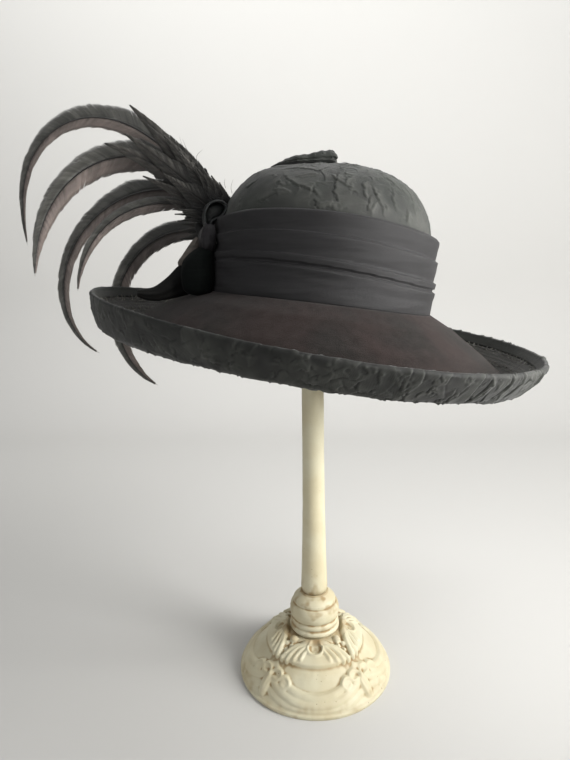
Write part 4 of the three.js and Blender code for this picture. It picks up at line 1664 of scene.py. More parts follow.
@dataclass
class Bow:
    """The satin and velvet bow at the band's back, where the plume is set."""

    shape: HatShape
    wardrobe: Wardrobe
    angle: float = math.radians(198)
    facing: float = math.radians(200.3)
    ribbon: float = 1.3
    ear_middle: float = -5.5
    ear_half_depth: float = 7.0
    band_bend: float = 184.0
    band_touch: float = -0.5
    # The dark lining of the standing loop: depth and size of each of its rings.
    ear_lining: tuple[Row, ...] = (
        (-9.5, 0.1), (-9, 0.7), (-8, 0.94), (-4.5, 0.94), (-3.6, 0.6), (-3.4, 0.1),
    )
    # Out and height round the standing loop.
    ear: tuple[Row, ...] = (
        (3.4, 46.5), (5.8, 50), (7.2, 55), (7.6, 60.5), (6.2, 65.8),
        (2.4, 69.6), (-2.6, 71.2), (-7.2, 70.4), (-9.6, 67.4), (-8.8, 63.6),
        (-5.4, 59.0), (-1.4, 56.8), (1.5, 54.6), (2.4, 51.6), (2.4, 49),
    )

    def place(self) -> Matrix:
        """The bow's frame: x out from the band, y round it to the near side, z up.

        Returns:
            The frame, in metres.
        """
        foot = self.shape.band_point(self.angle, 0, 0)
        spot = Matrix.Translation((foot[0] * MM, foot[1] * MM, 0))
        return self.shape.place() @ spot @ Matrix.Rotation(self.facing, 4, "Z")

    def gathered(
        self, rows: Any, count: int, sides: int, pleats: float, depth: float, sway: float
    ) -> Array:
        """A soft rolled form with gathers that run up it.

        Args:
            rows: Out, side, height, half out and half side of each oval.
            count: Loops to make.
            sides: Points in each loop.
            pleats: Gathers round the form.
            depth: Their depth.
            sway: How far they turn on the way up, in radians.

        Returns:
            Loops by points by three numbers.
        """
        table = spline(rows, count)
        turn = round_about(sides)[None, :]
        level = np.linspace(0, 1, count)[:, None]
        wave = np.sin(pleats * (turn + sway * level)) + 0.5 * np.sin(pleats * 1.6 * turn - 3 * level)
        swell = depth * wave * np.sin(np.pi * np.clip(level, 0.04, 0.96)) ** 0.5
        reach = table[:, [3]] + swell
        side = table[:, [1]] + (table[:, [4]] + swell) * np.sin(turn)
        pressed = (table[:, [0]] - self.band_touch) * np.maximum(-np.cos(turn), 0) ** 0.45
        out = table[:, [0]] + reach * np.maximum(np.cos(turn), 0) - pressed - side**2 / self.band_bend
        return np.stack(np.broadcast_arrays(out, side, table[:, [2]]), axis=-1)

    def upper_loop(self) -> None:
        """The loop of ribbon that stands up like an ear, its open side to the near side."""
        path = spline([*self.ear, self.ear[0]], 97)[:-1]
        ahead = unit(np.roll(path, -1, axis=0) - np.roll(path, 1, axis=0))
        outward = np.stack([-ahead[:, 1], ahead[:, 0]], axis=1)
        around = round_about(18)[None, :]
        deep = np.sign(np.cos(around)) * np.abs(np.cos(around)) ** 0.6
        side = self.ear_middle + self.ear_half_depth * deep
        rim = self.ribbon * (0.75 + 0.75 * smooth(deep, 0.55, 0.95))
        thick = np.sin(around) * rim
        waved = 0.35 * np.sin(np.linspace(0, 5 * FULL_TURN, len(path)))[:, None]
        out = path[:, [0]] + outward[:, [0]] * thick
        z = path[:, [1]] + outward[:, [1]] * thick
        form = Form()
        form.skin(np.stack(np.broadcast_arrays(out, side + waved, z), axis=-1), closed_along=True)
        centre = path.mean(0)
        loops = []
        for depth, size in self.ear_lining:
            inner = centre + (path - centre) * size
            loops.append(np.stack([inner[:, 0], np.full(len(path), depth), inner[:, 1]], axis=1))
        form.capsule(np.array(loops))
        form.settle("bow_loop_ribbon", [self.wardrobe.bow], self.place(), "bow_satin", "bow_upper_loop")

    def knot(self) -> None:
        """The knot, drawn tight in small gathers."""
        rows = (
            (6.2, 6, 27.8, 2.4, 5), (6.3, 6, 31, 4.4, 9), (6.6, 6, 36, 5.3, 11.5),
            (6.6, 5.4, 42, 5.3, 11.5), (5.8, 4.4, 47.5, 4.2, 9), (4.8, 3, 51.5, 2.2, 4.5),
        )
        form = Form()
        form.capsule(self.gathered(rows, 52, 80, 7, 0.28, 1.0))
        form.settle("bow_knot_satin", [self.wardrobe.knot], self.place(), "bow_satin", "bow_knot")

    def swept(self, edges: Any, count: int, sides: int, side: float, half: float, depth: float) -> Array:
        """A flat roll of cloth between an upper and a lower edge.

        Args:
            edges: Out and height of the upper edge, then of the lower one, for each place along.
            count: Loops to make.
            sides: Points in each loop.
            side: Where the roll's middle lies.
            half: Its half thickness.
            depth: The depth of its folds.

        Returns:
            Loops by points by three numbers.
        """
        rows = spline(edges, count)
        turn = round_about(sides)[None, :]
        level = np.linspace(0, 1, count)[:, None]
        share = 0.5 + 0.5 * np.cos(turn)
        ends = np.sin(np.pi * np.clip(level, 0.02, 0.98)) ** 0.35
        fold = depth * (np.sin(11 * share + 2 * level) + 0.5 * np.sin(19 * share - 3 * level))
        thick = (half + fold * np.abs(np.sin(turn))) * np.sin(turn) * ends
        out = mix(rows[:, [2]], rows[:, [0]], share)
        z = mix(rows[:, [3]], rows[:, [1]], share)
        return np.stack(np.broadcast_arrays(out, side + thick, z), axis=-1)

    def ribbon_fold(self) -> None:
        """The folded ribbon end between the knot and the lower loop, on the back side."""
        edges = (
            (13.5, 40.5, 8, 38), (17, 36, 6.5, 33.5), (20.5, 30, 6, 28),
            (23.8, 24, 6, 22), (26.9, 18.4, 7, 15), (26.4, 15.4, 8, 10.5),
        )
        form = Form()
        form.capsule(self.swept(edges, 60, 90, -1, 3.4, 0.45))
        form.settle("bow_ribbon_fold", [self.wardrobe.taupe], self.place(), "bow_satin")

    def lower_loop(self) -> None:
        """The full, dark lower loop that rests on the brim."""
        rows = (
            (11, 8, -6.6, 7.4, 9), (11.8, 8, -3, 10.3, 13), (12.9, 7.5, 5, 11.4, 15),
            (13.2, 7, 13, 11.6, 15), (12.2, 6.5, 21, 10.4, 13), (9.6, 6.5, 28, 7.4, 10),
            (7.4, 7, 32.4, 4.4, 6.5),
        )
        form = Form()
        form.capsule(self.gathered(rows, 80, 110, 4, 0.5, 0.6))
        form.settle("bow_lower_velvet", [self.wardrobe.velvet], self.place(), "bow_satin", "bow_lower_loop")

    def tail(self) -> None:
        """The end that sweeps back over the brim."""
        edges = (
            (15, 19, 8, -4), (20.5, 18, 12, -6), (26, 15.2, 17.5, -8.4), (34.4, 5.2, 27.5, -12),
            (44.7, -3.8, 40, -15.4), (52, -6.2, 49.5, -15.6), (58.5, -8.0, 57.5, -13.6),
        )
        form = Form()
        form.capsule(self.swept(edges, 80, 90, -1.5, 6.5, 0.6))
        form.settle("bow_tail_velvet", [self.wardrobe.wing], self.place(), "bow_satin", "bow_tail")

    def build(self) -> None:
        """Builds the bow's five pieces."""
        self.upper_loop()
        self.knot()
        self.ribbon_fold()
        self.lower_loop()
        self.tail()


# Feathers.


@dataclass(frozen=True)
class Feather:
    """One feather: where its quill starts, how long it is and how it curves.

    The heading is in degrees seen from the near side, where 90 is up and 180 is to the back, at
    even stations. The depth is the distance behind the hat's middle line. The vane's half widths
    are at five stations, and turn says how far the vane is turned about its quill, in degrees.
    """

    x: float
    z: float
    length: float
    heading: tuple[float, ...]
    depth: tuple[float, ...]
    outer: tuple[float, ...]
    inner: tuple[float, ...]
    turn: float

    def spine(self, count: int) -> tuple[Array, Array, Array]:
        """The quill's line.

        Args:
            count: Steps along it.

        Returns:
            Its points, the directions along it, and those across the vane.
        """
        along = np.linspace(0, 1, count + 1)
        middles = (along[:-1] + along[1:]) / 2
        step = np.radians(curve_through(self.heading, middles))
        run = self.length / count
        x = self.x + np.concatenate([[0], np.cumsum(np.cos(step))]) * run
        z = self.z + np.concatenate([[0], np.cumsum(np.sin(step))]) * run
        points = np.stack([x, curve_through(self.depth, along), z], axis=1)
        heading = np.radians(curve_through(self.heading, along))
        turn = math.radians(self.turn)
        flat = np.stack([np.sin(heading), np.zeros_like(heading), -np.cos(heading)], axis=1)
        across = flat * math.cos(turn) + np.array([0, math.sin(turn), 0])
        return points, unit(np.gradient(points, axis=0)), across


class Barbing(Enum):
    """How barbs stand on a quill: lean in degrees, spacing, looseness, and where the dark root ends."""

    TAIL = (46.0, 0.45, 0.3, 0.5)
    HACKLE = (57.0, 0.52, 0.34, 0.95)
    WISP = (74.0, 0.6, 1.2, 0.5)


class FeatherMaker:
    """Makes feathers barb by barb."""

    STATIONS = np.array([0.0, 0.34, 0.7, 1.0])
    NEAR = np.array([0.0, -1.0, 0.0])

    def __init__(self, seed: int) -> None:
        """Sets where the random choices start."""
        self.random = np.random.default_rng(seed)

    def quill(self, form: Form, feather: Feather, radius: float) -> None:
        """Adds the quill, which thins to a hair at its tip.

        Args:
            form: The form to add to.
            feather: The feather.
            radius: The quill's radius at its root.
        """
        points, _, _ = feather.spine(44)
        along = np.linspace(0, 1, len(points))
        thick = radius * (1 - along) ** 0.8 + 0.1
        form.tube(points + self.NEAR * 0.3 * thick[:, None], thick, 6, 0)

    def clumps(self, count: int, loose: float) -> Array:
        """The clumps that barbs side by side cling together in.

        Args:
            count: How many barbs there are.
            loose: How loosely they stand.

        Returns:
            How far each barb's tip is drawn to the middle of its clump, in barb spacings.
        """
        pull = np.zeros(count)
        start = 0
        while start < count:
            size = int(self.random.integers(7, 22))
            part = slice(start, min(start + size, count))
            held = np.arange(count)[part]
            drawn = self.random.uniform(0, 0.02 + 0.12 * loose)
            if self.random.random() < 0.03 + 0.16 * loose:
                drawn = self.random.uniform(0.1, 0.18 + 0.2 * loose)
            pull[part] = -(held - held.mean()) * drawn
            start += size
        return pull

    def in_groups(self, count: int, size: int, spread: float) -> Array:
        """Random values that barbs side by side share, in groups of a size."""
        drawn = self.random.normal(0, spread, count // size + 2)
        return np.interp(np.arange(count) / size, np.arange(len(drawn)), drawn)

    def vane(self, form: Form, feather: Feather, side: int, style: Barbing, finish: int) -> None:
        """Adds the barbs of one side of a feather.

        Args:
            form: The form to add to.
            feather: The feather.
            side: 1 for the outer vane and -1 for the inner one.
            style: How the barbs stand.
            finish: Which finish they take.
        """
        lean, spacing, loose, root = style.value
        slope = math.tan(math.radians(lean))
        widths = feather.outer if side > 0 else feather.inner
        both = np.array(feather.outer) + np.array(feather.inner)
        points, ahead, across = feather.spine(240)
        known = np.linspace(0, 1, len(points))
        count = int(feather.length * 0.97 / spacing)
        along = np.linspace(0.015, 0.985, count)
        reach = at_stations(widths, along)
        reached = np.minimum(along + reach * slope / feather.length, 1)
        reach = np.minimum(at_stations(widths, reached), (1.012 - along) * feather.length / slope)
        reach = reach * (1 + 0.05 * loose * self.random.normal(size=count))
        reach = reach * (1 + self.in_groups(count, 8, 0.022 + 0.03 * loose))
        reach = np.maximum(reach, 0.4)
        base, forward, outward = (
            np.stack([np.interp(along, known, column) for column in rows.T], axis=1)
            for rows in (points, ahead, across)
        )
        outward = unit(outward) * side
        drawn = self.clumps(count, loose) * spacing
        share = self.STATIONS[None, :, None]
        width, push = reach[:, None, None], (reach * slope)[:, None, None]
        curl = (0.05 * at_stations(both, along))[:, None, None]
        stray = self.random.normal(0, 0.22 * loose, (count, 1, 1))
        stray = stray + 0.3 * np.sin(along * 60)[:, None, None]
        line = (
            base[:, None]
            + outward[:, None] * width * share**0.94
            + forward[:, None] * (push * share**1.22 + drawn[:, None, None] * share**1.6)
            - self.NEAR * (curl * share**2 + stray * share**1.5)
        )
        facing = unit(np.cross(outward, forward))[:, None]
        facing = np.where((facing @ self.NEAR)[..., None] < 0, -facing, facing)
        direction = unit(np.gradient(line, axis=1))
        beside = unit(np.cross(facing, direction))
        half = spacing * 0.74 * (1 - 0.7 * share**3)
        tilt = 0.16 * spacing
        left = line - beside * half
        right = line + beside * half + facing * tilt
        ridge = line + facing * (0.13 + tilt) * (1 - 0.5 * share)
        shade = self.random.normal(0.4, 0.12, count)
        shade = shade + self.in_groups(count, 4, 0.3) + self.in_groups(count, 17, 0.2)
        tone = np.clip(shade, 0, 1)[:, None, None]
        strands = np.stack([left, ridge, right], axis=2)
        fresh = 0.06 + 0.94 * smooth(along, 0.12 * root, root)[:, None, None]
        form.strands(strands, finish, reach=share[..., 0, None] * fresh, tone=tone * fresh)

    def strand(self, form: Form, path: Array, radius: float, finish: int) -> None:
        """Adds one fine hair along a path."""
        thick = radius * (1 - np.linspace(0, 1, len(path)) ** 2) + 0.04
        form.strands(tube_loops(path, thick, 3)[None], finish, reach=0.3, tone=0.3)


# From the highest to the one that hangs lowest.
LONG_FEATHERS = (
    Feather(
        -121, 92.5, 263, (145, 171, 237, 276), (12, 22, 42),
        (4, 12, 11.5, 6.5, 0.6), (4, 11, 9, 5, 0.6), 12,
    ),
    Feather(
        -119, 87.5, 208, (143, 194, 242, 277), (5, -4, -20),
        (3.5, 12.5, 11.5, 8, 0.6), (3.5, 15, 13, 8, 0.6), -14,
    ),
    Feather(
        -117, 76, 247, (164, 216, 264, 340), (1, 12, 14),
        (4, 12.5, 8.5, 6, 0.6), (4, 14, 8.5, 5.5, 0.6), 10,
    ),
    Feather(
        -115.5, 66.5, 144, (174, 203, 239, 272), (-6, -13, -20),
        (4, 6, 5.5, 4, 0.6), (4, 8, 6, 4, 0.6), -10,
    ),
    Feather(
        -106, 45.8, 239, (169, 227.4, 277.1, 338), (14, 57.3, 74),
        (8.5, 10, 10.5, 9.5, 9, 8.5, 7.5, 5, 0.6), (9, 10.5, 11.5, 10.5, 10, 9, 8, 5.5, 0.6), 8,
    ),
)


@dataclass
class TailFeathers:
    """The five long curled feathers."""

    shape: HatShape
    wardrobe: Wardrobe
    quill_radius: float = 0.85
    seed: int = 107

    def build(self) -> None:
        """Builds each feather and gives it its finishes."""
        for index, feather in enumerate(LONG_FEATHERS, start=1):
            maker = FeatherMaker(self.seed + index)
            form = Form()
            maker.quill(form, feather, self.quill_radius)
            maker.vane(form, feather, 1, Barbing.TAIL, 1)
            maker.vane(form, feather, -1, Barbing.TAIL, 2)
            finishes = [self.wardrobe.quill, self.wardrobe.outer_vane, self.wardrobe.inner_vane]
            node = f"tail_feather_{index}"
            form.settle(f"coque_feather_{index}", finishes, self.shape.place(), "feather", node)


@dataclass
class Plume:
    """The short feathers and wisps that hide the roots of the long ones."""

    shape: HatShape
    wardrobe: Wardrobe
    seed: int = 118
    full: tuple[float, ...] = (4, 8, 7, 4, 0.6)
    wide: tuple[float, ...] = (4, 10, 9, 5, 0.6)
    slim: tuple[float, ...] = (2, 5, 4, 2.5, 0.5)
    lobe: tuple[float, ...] = (4, 9, 8, 4.5, 0.6)
    thin: tuple[float, ...] = (0.8, 1.6, 1.5, 1.0, 0.3)
    long: tuple[float, ...] = (6, 12, 9.5, 5, 0.6)
    broad: tuple[float, ...] = (5, 11, 11, 7, 0.8)
    # The longest loose hairs, from root to tip.
    hairs: tuple[tuple[Row, ...], ...] = (
        ((-124, -6, 104), (-129.5, -7, 113), (-133.1, -8, 121.3)),
        ((-122.5, -6, 106), (-127.5, -7, 114), (-130.2, -8, 119.6)),
        ((-116, -6, 100), (-117.5, -7, 107), (-112.4, -8, 113.5)),
        ((-90, -10, 84), (-91.5, -9, 88), (-91.5, -8, 92.2)),
        ((-84, -10, 80), (-85.5, -9, 85), (-84.5, -8, 92)),
    )

    def hackles(self) -> list[tuple[Feather, Barbing]]:
        """The short feathers, those with a thin vane as wisps.

        Returns:
            Every feather and how its barbs stand.
        """
        full, wide, slim, broad = self.full, self.wide, self.slim, self.broad
        lobe, thin, long = self.lobe, self.thin, self.long
        rows = [
            (-97, 66, 111, (130, 134, 139, 144), (-2, -6, -8), long, long, 8),
            (-98, 64, 106, (142, 151, 160, 168), (-6, -13, -18), lobe, long, -6),
            (-98, 65, 94, (141, 145, 148, 151), (-7, -14, -19), wide, full, -4),
            (-97, 66, 88, (130, 134, 138, 142), (-4, -9, -11), wide, wide, 6),
            (-96, 67, 73, (127, 131, 135, 139), (-5, -10, -12), full, wide, 4),
            (-95, 67, 55, (125, 129, 133, 137), (-8, -12, -14), slim, wide, 0),
            (-93, 67, 38, (121, 125, 129, 133), (-10, -13, -15), slim, full, 0),
            (-90, 67, 35, (119, 122, 126, 130), (-11, -14, -16), slim, full, 0),
            (-87, 67, 29, (115, 119, 123, 127), (-12, -15, -16), slim, full, 0),
            (-85, 66, 23, (108, 112, 116, 120), (-13, -16, -17), slim, full, 0),
            (-98, 64, 75, (145, 149, 153, 157), (-2, -9, -13), broad, wide, 4),
            (-98, 65, 90, (139, 142, 145, 149), (2, 3, 4), broad, wide, 10),
            (-99, 62, 64, (155, 158, 160, 163), (-8, -15, -20), slim, slim, -4),
            (-98, 63, 50, (146, 148, 151, 154), (-8, -16, -20), wide, full, 0),
            (-99, 61, 43, (153, 156, 158, 161), (-7, -12, -16), wide, wide, 0),
            (-100, 58, 42, (161, 164, 166, 169), (-6, -10, -13), full, wide, 0),
            (-100, 60, 53, (156, 160, 164, 168), (4, 8, 11), wide, wide, 6),
            (-102, 55, 23, (162, 166, 169, 172), (-9, -12, -13), slim, slim, 0),
            (-104, 57, 26, (171, 176, 182, 187), (-12, -14, -15), thin, thin, 0),
            (-105, 55, 23, (181, 185, 189, 193), (-10, -12, -13), thin, thin, 0),
            (-106, 60, 21, (170, 175, 180, 184), (-14, -16, -17), thin, thin, 0),
            (-94, 51, 36, (174, 178, 182, 186), (0, 5, 9), wide, full, 4),
            (-94, 47, 38, (176, 181, 186, 191), (0, 6, 11), wide, full, 4),
            (-94, 43, 36, (180, 186, 192, 198), (0, 5, 9), full, wide, 4),
        ]
        return [(Feather(*row), Barbing.WISP if thin in row else Barbing.HACKLE) for row in rows]

    def core(self, form: Form) -> None:
        """Adds the two dark bodies that the short feathers stand round.

        Args:
            form: The form to add to.
        """
        turn, level = np.meshgrid(round_about(28), np.linspace(-0.98, 0.98, 16))
        girth = np.sqrt(1 - level**2)
        out = 6.5 * girth * np.cos(turn) - 4.5 * level
        head = np.stack([out - 104, 2 + 9 * girth * np.sin(turn), 67 + 20 * level], axis=-1)
        form.capsule(head, 1)
        form.capsule((head - [-104, 2, 67]) * [1.1, 0.7, 0.46] + [-108, 5, 45.5], 1)

    def fringe(self, form: Form, maker: FeatherMaker) -> None:
        """Adds the loose hairs along the plume's upper edge.

        Args:
            form: The form to add to.
            maker: The maker of its feathers.
        """
        for hair in self.hairs:
            maker.strand(form, spline(hair, 9), 0.16, 1)
        for share in np.linspace(0, 1, 12):
            root = mix(np.array([-126.0, -6, 103]), np.array([-93.0, -11, 80]), share)
            lean = np.radians(maker.random.uniform(112, 136))
            end = root + maker.random.uniform(5, 11) * np.array([math.cos(lean), 0, math.sin(lean)])
            bent = mix(root, end, 0.5) + [0.5, 0, 0.3]
            maker.strand(form, spline((root, bent, end), 7), 0.13, 1)

    def build(self) -> None:
        """Builds the plume and gives it its finishes."""
        maker = FeatherMaker(self.seed)
        form = Form()
        self.core(form)
        for feather, style in self.hackles():
            maker.quill(form, feather, min(0.4, 0.008 * feather.length))
            maker.vane(form, feather, 1, style, 1)
            maker.vane(form, feather, -1, style, 1)
        self.fringe(form, maker)
        finishes = [self.wardrobe.quill, self.wardrobe.hackle]
        form.settle("hackle_plume", finishes, self.shape.place(), "feather", "hackle_tuft")


# The stand.


class FootRelief:
    """The cast ornament on the foot: four shells, with beads, bows and swags between them."""

    # Each leaf of the shell on one side, from its root to its tip, across and out.
    LEAVES = (
        ((0, 27.2), (8, 27.4), (20, 29.8), (30.2, 34.6)),
        ((6.2, 29.6), (12, 30.0), (19.4, 32.8), (25.6, 37.6)),
        ((7.2, 31.8), (11, 32.8), (15.6, 35.8), (19.6, 39.8)),
        ((6.8, 34.4), (8.6, 35.4), (11.0, 37.6), (13.0, 40.4)),
    )
    EYE = 32.8
    RIBBONS = (
        ((0, 58.5), (4.4, 54.4), (9.6, 54.8), (9.4, 59.2), (4, 60.2)),
        ((9.6, 58.2), (14, 54.6), (19.6, 56.2), (18, 60.4), (13, 60)),
    )
    TAIL = ((0, 60), (-0.3, 63.5), (-0.4, 66.5), (0, 70))
    TAIL_WIDTHS = (2.4, 3.6, 4.6, 5.2, 5.4, 5.2, 4.6, 3.6)
    # Place, spread, half width and rise of each fold of the swag.
    SWAG = ((-2.4, -2.6, 2.8, 2.6), (1.7, 0.4, 2.5, 3.0), (5.2, 3.0, 1.9, 1.7))
    # Across, out, radius and rise of each bead.
    BEADS = (
        (0, 59.2, 2.8, 4.4), (0.4, 29.2, 3.8, 4.6), (-3.2, 34.2, 2.7, 3.6),
        (3.2, 34.8, 2.7, 3.4), (0, 39.4, 2.2, 3.0),
    )

    def __init__(self, turn: Array, radius: Array) -> None:
        """Takes the places on the foot.

        Args:
            turn: Angles from the front shell, in radians.
            radius: Distances from the middle.
        """
        quarter = math.pi / 2
        self.side = turn - quarter * np.round(turn / quarter)
        self.radius = radius
        self.across, self.out = radius * np.sin(np.abs(self.side)), radius * np.cos(self.side)
        hand = np.where(self.side >= 0, 1, -1)
        corner = self.side - hand * quarter / 2
        self.bow_across, self.bow_out = radius * np.sin(corner), radius * np.cos(corner)
        self.height = np.zeros_like(radius)

    def raise_to(self, height: Array) -> None:
        """Keeps the higher of what stands and what is added."""
        self.height = np.maximum(self.height, height)

    def cord(self, path: Array, across: Array, out: Array, half: Any, rise: float) -> None:
        """Raises a rounded cord.

        Args:
            path: The points of its middle line, across and out.
            across: How far across each place lies.
            out: How far out each place lies.
            half: Its half width, one for all or one for each point.
            rise: Its height.
        """
        half = np.broadcast_to(np.asarray(half, float), len(path))
        best = np.zeros_like(self.height)
        for index in range(len(path) - 1):
            start, run = path[index], path[index + 1] - path[index]
            share = ((across - start[0]) * run[0] + (out - start[1]) * run[1]) / max(run @ run, 1e-9)
            held = np.clip(share, 0, 1)
            away = np.hypot(across - start[0] - held * run[0], out - start[1] - held * run[1])
            width = mix(half[index], half[index + 1], held)
            rounded = np.sqrt(np.clip(1 - (away / width) ** 2, 0, 1))
            best = np.maximum(best, rounded * np.minimum(width / 2, 1))
        self.raise_to(rise * best)

    def bead(self, across: float, out: float, radius: float, rise: float) -> None:
        """Raises a bead between two shells."""
        away = np.hypot(self.bow_across - across, self.bow_out - out)
        self.raise_to(rise * np.sqrt(np.clip(1 - (away / radius) ** 2, 0, 1)))

    def shell(self) -> None:
        """Raises the shell: a smooth lip, leaves that fan over it and a hollow eye."""
        width = np.abs(self.side)
        ends = smooth(-width, -0.88, -0.66)
        lip = 47.4 - self.radius - 4 * smooth(width, 0.55, 0.88)
        top = self.out - 25.2 - self.across**2 / 110
        self.raise_to(3.7 * smooth(lip, -0.5, 1.3) * smooth(top, -0.3, 1.6) * ends)
        share = np.linspace(0, 1, 12)
        half = 1.7 + 1.5 * share**0.8
        for leaf in self.LEAVES:
            self.cord(spline(leaf, 12), self.across, self.out, half, 5.2)
        away = np.hypot(self.across * 0.82, self.out - self.EYE)
        self.raise_to(5.4 * smooth(-np.abs(away - 5.8), -1.8, -0.3))
        self.height = np.where(away < 4.6, np.minimum(self.height, 0.9 + 0.3 * away), self.height)

    def swag(self) -> None:
        """Raises the folds of the swag that hangs between two bows."""
        along = (np.abs(self.side) / (math.pi / 4)) ** 2
        for offset, spread, half, rise in self.SWAG:
            middle = 68.2 - 10.6 * along + offset + spread * along
            wide = half * (1 + 0.35 * along)
            fallen = rise * (1 - 0.45 * along)
            self.raise_to(fallen * np.sqrt(np.clip(1 - ((self.radius - middle) / wide) ** 2, 0, 1)))

    def bow(self) -> None:
        """Raises the bow and the beads above it."""
        for ribbon in self.RIBBONS:
            path = spline(ribbon, 18)
            for sense in (1, -1):
                self.cord(path * [sense * 1.12, 1], self.bow_across, self.bow_out, 1.65, 3.3)
        tail = spline(self.TAIL, len(self.TAIL_WIDTHS))
        self.cord(tail, self.bow_across, self.bow_out, self.TAIL_WIDTHS, 3.6)
        vein = np.abs(self.bow_across) + 0.9 * smooth(self.bow_out, 60, 74)
        leaf = (self.bow_out > 62) & (self.bow_out < 74) & (np.abs(self.bow_across) < 4)
        self.height = np.where(leaf, self.height - 0.9 * smooth(-np.abs(vein - 1.9), -0.9, 0), self.height)
        for bead in self.BEADS:
            self.bead(*bead)

    def make(self) -> Array:
        """Raises the whole relief.

        Returns:
            Its height, softened as a casting under paint is.
        """
        self.shell()
        self.swag()
        self.bow()
        height = self.height
        for _ in range(2):
            height = 0.5 * height + 0.25 * (np.roll(height, 1, 1) + np.roll(height, -1, 1))
            padded = np.pad(height, ((1, 1), (0, 0)), mode="edge")
            height = 0.5 * height + 0.25 * (padded[:-2] + padded[2:])
        return height


